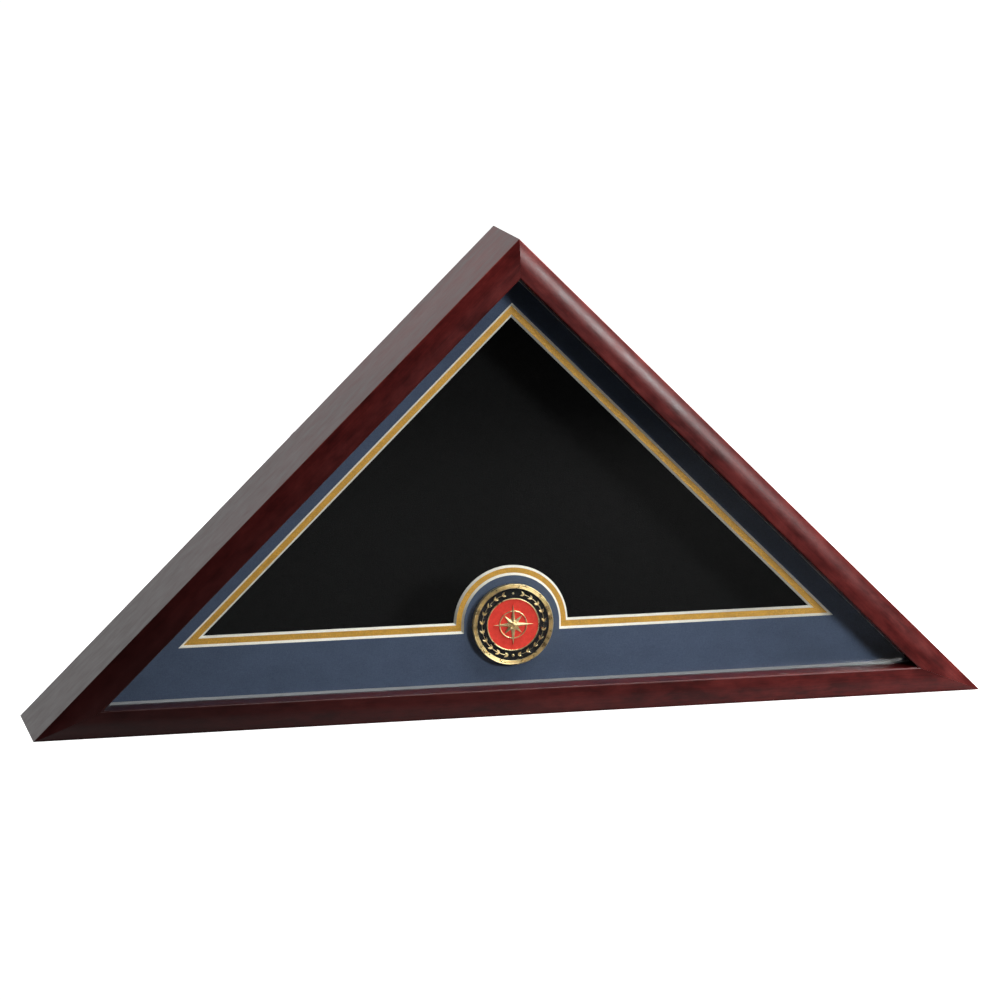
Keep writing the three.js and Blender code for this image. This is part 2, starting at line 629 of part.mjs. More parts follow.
// Two raised beads round the edge, a channel for the black enamel, a thin wall, and the red field.
add('medallion_body', turned([
  [0, DISC_BACK],
  [MEDALLION_RADIUS - MEDALLION_BACK_EDGE, DISC_BACK],
  [MEDALLION_RADIUS, DISC_BACK - MEDALLION_BACK_EDGE],
  ...RIM_BEADS.map(([inwards, below]) => [MEDALLION_RADIUS - inwards, DISC_FRONT + below]),
  [RING_OUTER, ENAMEL_FRONT],
  [RING_OUTER, ENAMEL_FLOOR],
  [RING_INNER, ENAMEL_FLOOR],
  [RING_INNER, DISC_FRONT + FIELD_WALL_BELOW_RIM],
  [RED_FIELD_RADIUS, DISC_FRONT + FIELD_WALL_BELOW_RIM],
  [RED_FIELD_RADIUS, ENAMEL_FLOOR],
  [0, ENAMEL_FLOOR],
], 0, MEDALLION_HEIGHT, 56), GOLD_METAL);

add('medallion_black_enamel', turned([
  [RING_INNER + FILM, ENAMEL_FLOOR - FILM],
  [RING_OUTER - FILM, ENAMEL_FLOOR - FILM],
  [RING_OUTER - FILM, ENAMEL_FRONT],
  [RING_INNER + FILM, ENAMEL_FRONT],
  [RING_INNER + FILM, ENAMEL_FLOOR - FILM],
], 0, MEDALLION_HEIGHT, 56), BLACK_ENAMEL);

add('medallion_red_enamel',
  rod(RED_FIELD_RADIUS - FILM, ENAMEL_FRONT, ENAMEL_FLOOR - FILM, 0, MEDALLION_HEIGHT, 56), RED_ENAMEL);

// A compass rose of eight points: four long and four short, each with a ridge down its middle.
function compassRose() {
  const back = ENAMEL_FRONT - FILM;
  const edge = back - 0.4;
  const points = Array.from({ length: 16 }, (_, i) => {
    const angle = i * Math.PI / 8;
    const radius = EMBLEM_RADIUS * (i % 4 === 0 ? 1 : i % 4 === 2 ? 0.62 : 0.26);
    return [radius * Math.cos(angle), radius * Math.sin(angle)];
  });
  const positions = [
    [0, back, MEDALLION_HEIGHT],
    [0, back - EMBLEM_HEIGHT, MEDALLION_HEIGHT],
    ...points.map(([x, z]) => [x, back, z + MEDALLION_HEIGHT]),
    ...points.map(([x, z]) => [x, edge, z + MEDALLION_HEIGHT]),
  ];
  const faces = points.flatMap((_, i) => {
    const [p, q] = [2 + i, 2 + (i + 1) % 16];
    return [0, p, q, p, p + 16, q, q, p + 16, q + 16, p + 16, 1, q + 16];
  });
  const geometry = new THREE.BufferGeometry();
  geometry.setAttribute('position', new THREE.Float32BufferAttribute(positions.flat(), 3));
  geometry.setIndex(faces);
  return closedBody(geometry);
}

add('medallion_emblem', compassRose(), GOLD_METAL);

// ---------------------------------------------------------------- back door

// The door fills the rear opening. Its base corners and tip are clipped, which frees its swing
// past the slopes and leaves a nick at the tip for a fingernail.
function doorShape() {
  const { left, right, apex } = corners(WALL + DOOR_SLOPE_GAP, WALL + DOOR_BASE_GAP);
  const rise = DOOR_CORNER_CLIP * Math.tan(SLOPE_ANGLE);
  const run = DOOR_TIP_CLIP / Math.tan(SLOPE_ANGLE);
  return new THREE.Shape([
    new THREE.Vector2(left.x + DOOR_CORNER_CLIP, left.y),
    new THREE.Vector2(right.x - DOOR_CORNER_CLIP, right.y),
    new THREE.Vector2(right.x - DOOR_CORNER_CLIP, right.y + rise),
    new THREE.Vector2(run, apex.y - DOOR_TIP_CLIP),
    new THREE.Vector2(-run, apex.y - DOOR_TIP_CLIP),
    new THREE.Vector2(left.x + DOOR_CORNER_CLIP, left.y + rise),
  ]);
}

add('back_door', cut(plate(doorShape(), DOOR_FRONT, BACK), cuts.back_door), BACKBOARD);

const feltBack = DOOR_FRONT - FILM;
const feltOutline = new THREE.Shape(outline(corners(FACE_WIDTH + FELT_MARGIN)));
add('back_felt', plate(feltOutline, feltBack - FELT_THICKNESS, feltBack), BLACK_FELT);

// ---------------------------------------------------------------- the case

const flagCase = new THREE.Group();
flagCase.name = 'folded_flag_display_case';
for (const { name, geometry, material } of pieces) {
  const mesh = new THREE.Mesh(geometry, material);
  mesh.name = name;
  flagCase.add(mesh);
}

export default flagCase;
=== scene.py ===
"""Folded flag display case: its finished pieces, materials and studio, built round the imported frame.

Everything is in metres, +Z up. The front looks along -Y, and the case stands on Z = 0.
"""

import json
import math

import bmesh
import bpy
from bpy.props import FloatProperty, FloatVectorProperty, IntProperty, PointerProperty
from bpy.types import Operator, Panel, PropertyGroup
from mathutils import Matrix, Vector, noise
from mathutils.geometry import delaunay_2d_cdt

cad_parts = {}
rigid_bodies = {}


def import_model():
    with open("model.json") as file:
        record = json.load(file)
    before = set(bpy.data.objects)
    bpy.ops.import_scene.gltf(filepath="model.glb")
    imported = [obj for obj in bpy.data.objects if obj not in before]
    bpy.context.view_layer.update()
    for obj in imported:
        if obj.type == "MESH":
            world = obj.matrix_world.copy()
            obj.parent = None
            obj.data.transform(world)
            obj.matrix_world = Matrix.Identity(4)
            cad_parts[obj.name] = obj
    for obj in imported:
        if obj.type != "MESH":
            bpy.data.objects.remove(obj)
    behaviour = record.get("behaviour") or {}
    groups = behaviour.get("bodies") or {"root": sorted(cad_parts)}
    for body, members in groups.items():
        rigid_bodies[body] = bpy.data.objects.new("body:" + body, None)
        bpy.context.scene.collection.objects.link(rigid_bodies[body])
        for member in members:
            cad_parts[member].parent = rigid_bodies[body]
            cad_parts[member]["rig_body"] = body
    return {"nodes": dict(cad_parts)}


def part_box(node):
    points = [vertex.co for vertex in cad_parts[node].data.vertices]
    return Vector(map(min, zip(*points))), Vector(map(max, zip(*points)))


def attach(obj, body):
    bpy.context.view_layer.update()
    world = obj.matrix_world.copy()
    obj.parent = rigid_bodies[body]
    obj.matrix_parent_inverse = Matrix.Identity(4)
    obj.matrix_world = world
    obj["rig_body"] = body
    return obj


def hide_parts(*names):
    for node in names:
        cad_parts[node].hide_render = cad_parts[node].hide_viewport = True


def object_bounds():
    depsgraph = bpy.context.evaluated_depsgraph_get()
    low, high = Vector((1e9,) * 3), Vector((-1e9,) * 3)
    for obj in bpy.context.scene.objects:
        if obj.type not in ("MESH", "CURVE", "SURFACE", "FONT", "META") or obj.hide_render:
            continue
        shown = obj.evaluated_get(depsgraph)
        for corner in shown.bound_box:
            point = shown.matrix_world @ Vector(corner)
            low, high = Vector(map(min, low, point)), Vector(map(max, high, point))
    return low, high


bl_info = {
    "name": "Folded Flag Display Case",
    "version": (1, 0, 0),
    "blender": (4, 5, 0),
    "location": "View3D > Sidebar > Flag Case",
    "description": "Builds the pieces and finishes of a triangular flag display case",
    "category": "Add Mesh",
}

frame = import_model()
CAD_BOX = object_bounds()
MM = 0.001


# ---------------------------------------------------------------- places read from the frame


def slope_angle():
    """The angle of the left slope, from the largest face of its rail that looks up and out."""
    faces = frame["nodes"]["rail_left"].data.polygons
    outer = max((f for f in faces if f.normal.x < -0.1 and f.normal.z > 0.1), key=lambda f: f.area)
    return math.atan2(-outer.normal.x, outer.normal.z)


def radii(node, centre):
    """The smallest and largest distance of a node's corners from a line along Y."""
    reach = [math.hypot(v.co.x - centre.x, v.co.z - centre.z) for v in frame["nodes"][node].data.vertices]
    return min(reach), max(reach)


def middle(node):
    low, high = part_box(node)
    return (low + high) / 2


SLOPE = slope_angle()
COS, SIN = math.cos(SLOPE), math.sin(SLOPE)

# Each side's direction along its rail, and the direction square to it into the case.
SIDES = {
    "bottom": (Vector((1, 0, 0)), Vector((0, 0, 1))),
    "left": (Vector((COS, 0, SIN)), Vector((SIN, 0, -COS))),
    "right": (Vector((COS, 0, -SIN)), Vector((-SIN, 0, -COS))),
}


# ---------------------------------------------------------------- sizes and colours to set


def length(label, text, millimetres):
    return FloatProperty(name=label, description=text, default=millimetres * MM, min=0, precision=5,
                         subtype="DISTANCE", unit="LENGTH")


def color(label, text, value):
    return FloatVectorProperty(name=label, description=text, default=value, min=0, max=1,
                               size=3, subtype="COLOR")


def place(label, text, value):
    return FloatVectorProperty(name=label, description=text, default=value, size=3,
                               subtype="TRANSLATION", unit="LENGTH")


def power(label, text, watts):
    return FloatProperty(name=label, description=text, default=watts, min=0, subtype="POWER", unit="POWER")


class StudioSettings(PropertyGroup):
    camera_place: place("Camera place", "Where the camera stands", (-0.6243, -2.6531, 0.6606))
    camera_aim: place("Camera aim", "The point that the camera looks at", (-0.0047, 0, 0.1422))
    lens: FloatProperty(name="Lens", description="Focal length on a 36 mm sensor", default=146.57,
                        unit="CAMERA")
    key_place: place("Key place", "Where the front softbox stands", (0.64, -0.9, 0.42))
    key_size: length("Key size", "Side of the square front softbox", 220)
    key_power: power("Key power", "Power of the front softbox", 8.2)
    top_place: place("Overhead place", "Where the overhead softbox hangs", (0.52, -0.15, 1.2))
    top_size: length("Overhead size", "Width of the overhead softbox", 700)
    top_depth: length("Overhead depth", "Depth of the overhead softbox", 1100)
    top_power: power("Overhead power", "Power of the overhead softbox", 32)
    backdrop_glow: FloatProperty(name="Backdrop glow", description="Light from behind and above",
                                 default=0.85, min=0)
    room_glow: FloatProperty(name="Room glow", description="Light from in front of the case",
                             default=0.022, min=0)
    floor_color: color("Floor colour", "Colour that the floor sends back to the case", (0.04, 0.04, 0.04))
    card_color: color("Card colour", "Colour of the card that the case stands on", (0.5, 0.5, 0.5))


class WoodSettings(PropertyGroup):
    stain_dark: color("Dark stain", "Cherry stain where the figure is dark", (0.042, 0.0045, 0.0045))
    stain_mid: color("Stain", "Cherry stain", (0.085, 0.0085, 0.008))
    stain_light: color("Light stain", "Cherry stain where the figure is light", (0.135, 0.0155, 0.0135))
    # Painted shade: the colour that the stain is darkened towards at the lower left, in place of light that
    # falls off there.
    painted_shade_tint: color("Painted shade", "Painted shade that darkens the cherry stain towards the lower left", (0.012, 0.0022, 0.0022))
    edge_stain: color("Edge stain", "Rubbed stain along the arrises", (0.26, 0.045, 0.035))
    arris: length("Arris", "Radius of the rails' sharp edges", 0.5)
    backboard: color("Backboard", "Tempered hardboard", (0.12, 0.062, 0.032))
    backboard_edge: length("Backboard edge", "Radius of the door's edges", 0.3)


class MatSettings(PropertyGroup):
    navy: color("Navy", "Top mat's paper", (0.068, 0.093, 0.155))
    gold: color("Gold", "Under mat's paper", (0.6, 0.31, 0.035))
    core: color("Core", "White core that shows in the bevels", (0.9, 0.86, 0.77))
    felt: color("Felt", "Black felt of the lining", (0.0035, 0.0035, 0.0037))
    felt_edge: length("Felt edge", "Radius of a felted edge", 0.8)
    felt_step: length("Felt step", "Spacing of the felt sheet's grid", 7)
    felt_wave: length("Felt wave", "Height of the felt sheet's soft unevenness", 0.22)
    strip: color("Spacer strip", "Dark spacer strip", (0.045, 0.046, 0.05))
    strip_edge: length("Strip edge", "Radius of a spacer strip's edges", 0.25)
    glass_edge: length("Glass edge", "Radius of the pane's ground edges", 0.2)


class MedallionSettings(PropertyGroup):
    segments: IntProperty(name="Segments", description="Steps round the turned pieces", default=160, min=16)
    outer_bead: length("Outer bead", "Radius of the outermost bead of the rim", 0.56)
    middle_bead: length("Middle bead", "Radius of the middle bead of the rim", 0.42)
    inner_bead: length("Inner bead", "Radius of the innermost bead of the rim", 0.34)
    bead_gap: length("Bead gap", "Groove between the beads", 0.2)
    meniscus: length("Meniscus", "How far the enamel sinks between its walls", 0.16)
    leaf_pairs: IntProperty(name="Leaf pairs", description="Pairs of leaves on each laurel branch",
                            default=10, min=2)
    leaf_length: length("Leaf length", "Length of a laurel leaf", 3.1)
    leaf_width: length("Leaf width", "Width of a laurel leaf", 1.25)
    leaf_height: length("Leaf height", "Height of a leaf's ridge", 0.42)
    rose_ring: length("Rose ring", "Radius of the ring on the compass rose", 9.4)
    gold_plate: color("Gold plate", "Plating of the disc", (0.98, 0.78, 0.42))
    red: color("Red enamel", "Field of the medallion", (1.0, 0.06, 0.04))
    black: color("Black enamel", "Ring of the medallion", (0.004, 0.004, 0.005))
    pad_edge: length("Pad edge", "Radius of the foam pad's edges", 0.2)


class HardwareSettings(PropertyGroup):
    brass: color("Brass", "Brass-plated hinges, screws and turn buttons", (0.58, 0.42, 0.17))
    zinc: color("Zinc", "Zinc-plated hangers and mitre nails", (0.56, 0.57, 0.59))
    sheet_edge: length("Sheet edge", "Radius of the edges of stamped sheet metal", 0.14)
    button_edge: length("Button edge", "Radius of a turn button's edges", 0.28)
    nail_edge: length("Nail edge", "Radius of a mitre nail's edges", 0.08)
    head_height: length("Head height", "Height of a screw's head", 1.6)
    recess_reach: length("Recess reach", "How far an arm of the cross recess reaches", 1.35)
    recess_width: length("Recess width", "Width of an arm of the cross recess", 0.78)
    recess_depth: length("Recess depth", "Depth of the cross recess", 0.95)
    thread_pitch: length("Thread pitch", "Distance between the rings of a screw's thread", 1.1)
    seed: IntProperty(name="Seed", description="Picks how far each screw is turned", default=7)


SETTINGS = {
    "case_studio": StudioSettings,
    "case_wood": WoodSettings,
    "case_mats": MatSettings,
    "case_medallion": MedallionSettings,
    "case_hardware": HardwareSettings,
}


# ---------------------------------------------------------------- node trees


def put(tree, kind, inputs=(), **settings):
    """Adds a node to a tree, sets it up, and feeds its inputs with values or other sockets."""
    node = tree.nodes.new(kind)
    for key, value in settings.items():
        setattr(node, key, value)
    for key, value in dict(inputs).items():
        if isinstance(value, bpy.types.NodeSocket):
            tree.links.new(value, node.inputs[key])
        else:
            node.inputs[key].default_value = value
    return node


def rgba(value):
    return (*value, 1)


def toned(tint, share):
    """A colour made darker by a share below 1, or lighter by one above it."""
    return [c * share for c in tint]


def speckle(tree, vector, size, detail=2.0, roughness=0.5, shift=(0, 0, 0)):
    """Noise whose grains measure size, in metres along each axis."""
    scaled = put(tree, "ShaderNodeMapping",
                 {"Vector": vector, "Location": shift, "Scale": [1 / s for s in size]})
    return put(tree, "ShaderNodeTexNoise", {
        "Vector": scaled.outputs["Vector"], "Scale": 1.0, "Detail": detail, "Roughness": roughness,
    }).outputs[0]


def shades(tree, factor, *stops):
    """A colour for each factor, from stops of position and colour."""
    node = put(tree, "ShaderNodeValToRGB", {"Fac": factor})
    elements = node.color_ramp.elements
    for element, (position, value) in zip((elements[0], elements[1]), (stops[0], stops[-1])):
        element.position = position
        element.color = rgba(value)
    for position, value in stops[1:-1]:
        elements.new(position).color = rgba(value)
    return node.outputs["Color"]


def mixed(tree, factor, first, second, how="MIX"):
    return put(tree, "ShaderNodeMix", {0: factor, 6: first, 7: second},
               data_type="RGBA", blend_type=how).outputs[2]


def mapped(tree, value, from_low, from_high, to_low, to_high):
    return put(tree, "ShaderNodeMapRange", {
        "Value": value, "From Min": from_low, "From Max": from_high, "To Min": to_low, "To Max": to_high,
    }).outputs[0]


def maths(tree, operation, first, second):
    return put(tree, "ShaderNodeMath", {0: first, 1: second}, operation=operation).outputs[0]


def weighed(tree, *terms):
    """The sum of values that are each multiplied by a weight."""
    parts = [maths(tree, "MULTIPLY", value, weight) for value, weight in terms]
    total = parts[0]
    for part in parts[1:]:
        total = maths(tree, "ADD", total, part)
    return total


def bumped(tree, height, distance, strength=1.0, under=None):
    inputs = {"Height": height, "Strength": strength, "Distance": distance}
    if under is not None:
        inputs["Normal"] = under
    return put(tree, "ShaderNodeBump", inputs).outputs["Normal"]


def new_tree(owner):
    owner.use_nodes = True
    owner.node_tree.nodes.clear()
    return owner.node_tree


def surface(tree, **inputs):
    """A Principled shader on the tree's output; input names are written with underscores."""
    shader = put(tree, "ShaderNodeBsdfPrincipled",
                 {name.replace("_", " "): value for name, value in inputs.items()})
    put(tree, "ShaderNodeOutputMaterial", {"Surface": shader.outputs[0]})


def own_place(tree):
    return put(tree, "ShaderNodeTexCoord").outputs["Object"]


# ---------------------------------------------------------------- finishes


# Painted shade: the stain is made darker towards the lower left and is left unchanged at the right, in place
# of light that falls off towards the left. It fades along X, in metres, and climbing by a metre counts as
# going as many metres to the right as the slant below.
PAINTED_SHADE_SLANT = 0.8
PAINTED_SHADE_FULL = -0.22
PAINTED_SHADE_GONE = 0.25
PAINTED_SHADE_SHARE = 0.88


def cherry_wood(tree, scene):
    """Mottled cherry stain under semi-gloss lacquer, with its grain along the rail."""
    wood = scene.case_wood
    grain = put(tree, "ShaderNodeAttribute", attribute_name="grain").outputs["Vector"]
    wear = put(tree, "ShaderNodeAttribute", attribute_name="wear").outputs["Fac"]
    blotches = speckle(tree, grain, (0.016, 0.007, 0.007), 3, 0.6)
    streaks = speckle(tree, grain, (0.03, 0.0007, 0.002), 2, 0.6, (4, 0, 0))
    tone = speckle(tree, grain, (0.09, 0.03, 0.05), 1, 0.5, (9, 3, 0))
    pores = speckle(tree, grain, (0.0026, 0.00022, 0.0006), 0, 0.5)
    figure = weighed(tree, (blotches, 0.5), (streaks, 0.22), (tone, 0.28))
    stained = shades(tree, figure, (0.38, wood.stain_dark), (0.5, wood.stain_mid), (0.66, wood.stain_light))
    dark_pores = mapped(tree, pores, 0.62, 0.72, 0, 0.45)
    stained = mixed(tree, dark_pores, stained, rgba(wood.stain_dark))
    rubbed = maths(tree, "MULTIPLY", wear, mapped(tree, blotches, 0.35, 0.65, 0.1, 0.7))
    stained = mixed(tree, rubbed, stained, rgba(wood.edge_stain))
    # Painted shade: darkens the stain towards the lower left, in place of light that falls off there; it is
    # not a real change in the wood's colour.
    axes = put(tree, "ShaderNodeSeparateXYZ", {0: own_place(tree)}).outputs
    reach = maths(tree, "ADD", axes["X"], maths(tree, "MULTIPLY", axes["Z"], PAINTED_SHADE_SLANT))
    deep = mapped(tree, reach, PAINTED_SHADE_FULL, PAINTED_SHADE_GONE, PAINTED_SHADE_SHARE, 0)
    stained = mixed(tree, deep, stained, rgba(wood.painted_shade_tint))
    relief = bumped(tree, streaks, 0.00002, 0.4)
    relief = bumped(tree, speckle(tree, grain, (0.004, 0.003, 0.003), 1), 0.00006, 0.6, relief)
    surface(tree, Base_Color=stained, Roughness=mapped(tree, blotches, 0.3, 0.7, 0.28, 0.37),
            IOR=1.32, Normal=relief)


def board_paper(tree, tint, fleck, depth):
    """A mat board's facing paper: fine tooth, short fibres and a little cloudiness."""
    where = own_place(tree)
    cloud = speckle(tree, where, (0.02, 0.02, 0.012), 2)
    tooth = speckle(tree, where, (0.0005, 0.0005, 0.0005), 2, 0.6)
    fibres = speckle(tree, where, (0.0022, 0.0004, 0.0003), 2, 0.6, (5, 0, 0))
    across = speckle(tree, where, (0.0003, 0.0004, 0.0019), 2, 0.6, (0, 0, 7))
    grain = weighed(tree, (tooth, 0.4), (fibres, 0.3), (across, 0.3))
    paper = shades(tree, grain, (0.38, toned(tint, 1 - fleck)), (0.62, toned(tint, 1 + fleck)))
    veil = mapped(tree, cloud, 0.3, 0.7, 0.94, 1.06)
    clouded = put(tree, "ShaderNodeVectorMath", {0: paper, 1: put(tree, "ShaderNodeCombineXYZ", {
        0: veil, 1: veil, 2: veil}).outputs[0]}, operation="MULTIPLY").outputs[0]
    return clouded, bumped(tree, grain, depth, 0.8)


def navy_paper(tree, scene):
    paper, relief = board_paper(tree, scene.case_mats.navy, 0.16, 0.00012)
    surface(tree, Base_Color=paper, Roughness=0.85, IOR=1.3, Normal=relief)


def gold_paper(tree, scene):
    paper, relief = board_paper(tree, scene.case_mats.gold, 0.3, 0.00012)
    surface(tree, Base_Color=paper, Roughness=0.55, Metallic=0.15, Normal=relief)


def board_core(tree, scene):
    """The cut white core: faint layers and drag marks from the bevel knife."""
    where = own_place(tree)
    layers = speckle(tree, where, (0.004, 0.00025, 0.004), 1)
    drag = speckle(tree, where, (0.0009, 0.0009, 0.0009), 2)
    core = scene.case_mats.core
    tint = shades(tree, weighed(tree, (layers, 0.5), (drag, 0.5)), (0.35, toned(core, 0.88)), (0.6, core))
    surface(tree, Base_Color=tint, Roughness=0.8, Normal=bumped(tree, drag, 0.00004))


def black_felt(tree, scene):
    """Matted wool fibres: a deep black with a dusty nap at grazing angles."""
    where = own_place(tree)
    nap = speckle(tree, where, (0.0009, 0.0009, 0.0009), 4, 0.7)
    strands = speckle(tree, where, (0.0035, 0.0006, 0.0005), 3, 0.65, (3, 1, 0))
    crossed = speckle(tree, where, (0.0005, 0.0006, 0.0032), 3, 0.65, (0, 1, 3))
    pile = weighed(tree, (nap, 0.5), (maths(tree, "ADD", strands, crossed), 0.25))
    felt = scene.case_mats.felt
    tint = shades(tree, pile, (0.36, toned(felt, 0.45)), (0.66, toned(felt, 1.7)))
    surface(tree, Base_Color=tint, Roughness=1.0, Specular_IOR_Level=0.1, Sheen_Weight=0.03,
            Sheen_Roughness=0.6, Normal=bumped(tree, pile, 0.0004, 0.9))


def black_strip(tree, scene):
    """Extruded satin strip with faint lines along it and a dusty sheen."""
    where = own_place(tree)
    lines = speckle(tree, where, (0.05, 0.0004, 0.05), 2)
    dust = speckle(tree, where, (0.003, 0.0015, 0.003), 3, 0.65)
    strip = scene.case_mats.strip
    tint = shades(tree, dust, (0.4, strip), (0.7, toned(strip, 1.9)))
    surface(tree, Base_Color=tint, Roughness=mapped(tree, dust, 0.3, 0.7, 0.38, 0.5), Sheen_Weight=0.7,
            Sheen_Roughness=0.45, Normal=bumped(tree, lines, 0.00003, 0.6))


def clear_glass(tree, scene):
    """Picture glass with a faint green cast. Light on its way to the mats passes straight through it."""
    wobble = speckle(tree, own_place(tree), (0.12, 0.12, 0.12), 1)
    pane = put(tree, "ShaderNodeBsdfPrincipled", {
        "Base Color": (0.985, 0.995, 0.99, 1), "Roughness": 0.0, "IOR": 1.45, "Transmission Weight": 1.0,
        "Normal": bumped(tree, wobble, 0.00002, 0.5),
    })
    clear = put(tree, "ShaderNodeBsdfTransparent", {"Color": (0.97, 0.985, 0.98, 1)})
    path = put(tree, "ShaderNodeLightPath").outputs
    passing = maths(tree, "MAXIMUM", path["Is Shadow Ray"], path["Is Diffuse Ray"])
    both = put(tree, "ShaderNodeMixShader", {0: passing, 1: pane.outputs[0], 2: clear.outputs[0]})
    put(tree, "ShaderNodeOutputMaterial", {"Surface": both.outputs[0]})


def foam_tape(tree, scene):
    where = own_place(tree)
    cells = put(tree, "ShaderNodeTexVoronoi", {"Vector": where, "Scale": 1800.0}).outputs["Distance"]
    tint = shades(tree, cells, (0.1, (0.62, 0.61, 0.57)), (0.6, (0.8, 0.79, 0.75)))
    surface(tree, Base_Color=tint, Roughness=0.9, Normal=bumped(tree, cells, 0.00012))


def gold_plate(tree, scene):
    """Polished plating with faint tarnish in patches and a softly uneven surface."""
    where = own_place(tree)
    tarnish = speckle(tree, where, (0.004, 0.004, 0.004), 3, 0.6)
    dimple = speckle(tree, where, (0.0007, 0.0007, 0.0007), 1)
    gold = scene.case_medallion.gold_plate
    tint = shades(tree, tarnish, (0.35, toned(gold, 0.78)), (0.6, gold))
    surface(tree, Base_Color=tint, Metallic=1.0, Roughness=mapped(tree, tarnish, 0.3, 0.7, 0.24, 0.36),
            Normal=bumped(tree, dimple, 0.00002, 0.5))


def enamel(tree, tint, spread):
    """Poured enamel: a clear gloss over faintly clouded colour."""
    where = own_place(tree)
    cloud = speckle(tree, where, (0.003, 0.003, 0.003), 3, 0.6)
    light = [min(1, c) for c in toned(tint, 1 + spread)]
    surface(tree, Base_Color=shades(tree, cloud, (0.35, toned(tint, 1 - spread)), (0.65, light)),
            Roughness=mapped(tree, cloud, 0.3, 0.7, 0.16, 0.26), Coat_Weight=0.4, Coat_Roughness=0.05,
            Normal=bumped(tree, cloud, 0.00005, 0.4))


def red_enamel(tree, scene):
    enamel(tree, scene.case_medallion.red, 0.12)


def black_enamel(tree, scene):
    enamel(tree, scene.case_medallion.black, 0.3)


def hardboard(tree, scene):
    """Tempered hardboard: pressed wood fibres, mottled brown, with a slight polish."""
    where = own_place(tree)
    mottle = speckle(tree, where, (0.02, 0.02, 0.016), 4, 0.6)
    fibres = speckle(tree, where, (0.004, 0.0008, 0.0007), 3, 0.65)
    crossed = speckle(tree, where, (0.0007, 0.0008, 0.0035), 3, 0.65, (0, 0, 5))
    specks = speckle(tree, where, (0.0016, 0.0016, 0.0012), 1, 0.5, (2, 2, 2))
    pulp = weighed(tree, (mottle, 0.4), (maths(tree, "ADD", fibres, crossed), 0.3))
    board = scene.case_wood.backboard
    tint = shades(tree, pulp, (0.36, toned(board, 0.6)), (0.5, board), (0.66, toned(board, 1.5)))
    tint = mixed(tree, mapped(tree, specks, 0.66, 0.74, 0, 0.6), tint, rgba(toned(board, 0.25)))
    surface(tree, Base_Color=tint, Roughness=mapped(tree, mottle, 0.3, 0.7, 0.5, 0.68),
            Normal=bumped(tree, pulp, 0.00012, 0.6))


def plated(tree, tint, dull):
    """Bright plating on stamped metal: fine rolling lines and a few dull patches."""
    where = own_place(tree)
    lines = speckle(tree, where, (0.006, 0.00016, 0.00016), 2)
    patches = speckle(tree, where, (0.004, 0.004, 0.004), 3, 0.6)
    shade = shades(tree, patches, (0.34, toned(tint, dull)), (0.62, tint))
    surface(tree, Base_Color=shade, Metallic=1.0, Roughness=mapped(tree, patches, 0.3, 0.7, 0.42, 0.26),
            Normal=bumped(tree, lines, 0.00002, 0.6))


def brass(tree, scene):
    plated(tree, scene.case_hardware.brass, 0.6)


def zinc_plate(tree, scene):
    plated(tree, scene.case_hardware.zinc, 0.72)


FINISHES = {f.__name__: f for f in (
    cherry_wood, navy_paper, gold_paper, board_core, black_felt, black_strip, clear_glass, foam_tape,
    gold_plate, red_enamel, black_enamel, hardboard, brass, zinc_plate,
)}


def finish(name):
    """The named finish's material, made the first time that a piece asks for it."""
    label = f"case_{name}"
    made = bpy.data.materials.get(label)
    if made is None:
        made = bpy.data.materials.new(label)
        FINISHES[name](new_tree(made), bpy.context.scene)
    return made


# ---------------------------------------------------------------- mesh tools


SAME_PLACE = 0.002 * MM  # corners closer than this are one
FLAT_WITHIN = math.radians(0.4)
ON_AXIS = 1e-9


def clean_copy(node):
    """A CAD node's mesh with its loose triangles joined and its flat faces made whole."""
    bm = bmesh.new()
    bm.from_mesh(frame["nodes"][node].data)
    bmesh.ops.remove_doubles(bm, verts=bm.verts, dist=SAME_PLACE)
    bmesh.ops.dissolve_limit(bm, angle_limit=FLAT_WITHIN, verts=bm.verts, edges=bm.edges)
    return bm


def rounded(bm, radius, segments=3, chosen=lambda edge: True, over=38):
    """Rounds the chosen edges that are sharper than an angle, and returns the new faces."""
    edges = [e for e in bm.edges
             if e.is_manifold and e.calc_face_angle(0) > math.radians(over) and chosen(e)]
    return bmesh.ops.bevel(bm, geom=edges, offset=radius, offset_type="OFFSET", segments=segments,
                           profile=0.5, affect="EDGES", clamp_overlap=True)["faces"]


def shaded(bm, angle=36, crisp=lambda face: False):
    """Smooths the faces and keeps the edges sharper than an angle, and those of crisp faces."""
    for face in bm.faces:
        face.smooth = True
    for edge in bm.edges:
        edge.smooth = edge.is_manifold and edge.calc_face_angle(0) < math.radians(angle)
    for face in bm.faces:
        if crisp(face):
            for edge in face.edges:
                edge.smooth = False


def piece(source, name, body, finishes, replaces=(), flats=False):
    """Makes a finished piece from a bmesh or a mesh, on its body and in place of its CAD nodes.

    With flats, the large flat faces keep their own normals next to rounded edges.
    """
    if isinstance(source, bmesh.types.BMesh):
        mesh = bpy.data.meshes.new(name)
        source.to_mesh(mesh)
        source.free()
    else:
        mesh = source
        mesh.name = name
        mesh.materials.clear()
    for material in finishes:
        mesh.materials.append(finish(material))
    made = bpy.data.objects.new(name, mesh)
    bpy.context.scene.collection.objects.link(made)
    if flats:
        weighing = made.modifiers.new("flats", "WEIGHTED_NORMAL")
        weighing.keep_sharp = True
        weighing.weight = 100
    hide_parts(*replaces)
    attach(made, body)
    return made


def dressed(node, name, material, radius, segments=3, angle=36):
    """A CAD node's own shape with rounded edges and its finish."""
    bm = clean_copy(node)
    if radius:
        rounded(bm, radius, segments)
    shaded(bm, angle)
    piece(bm, name, frame["nodes"][node]["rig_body"], [material], [node], flats=True)


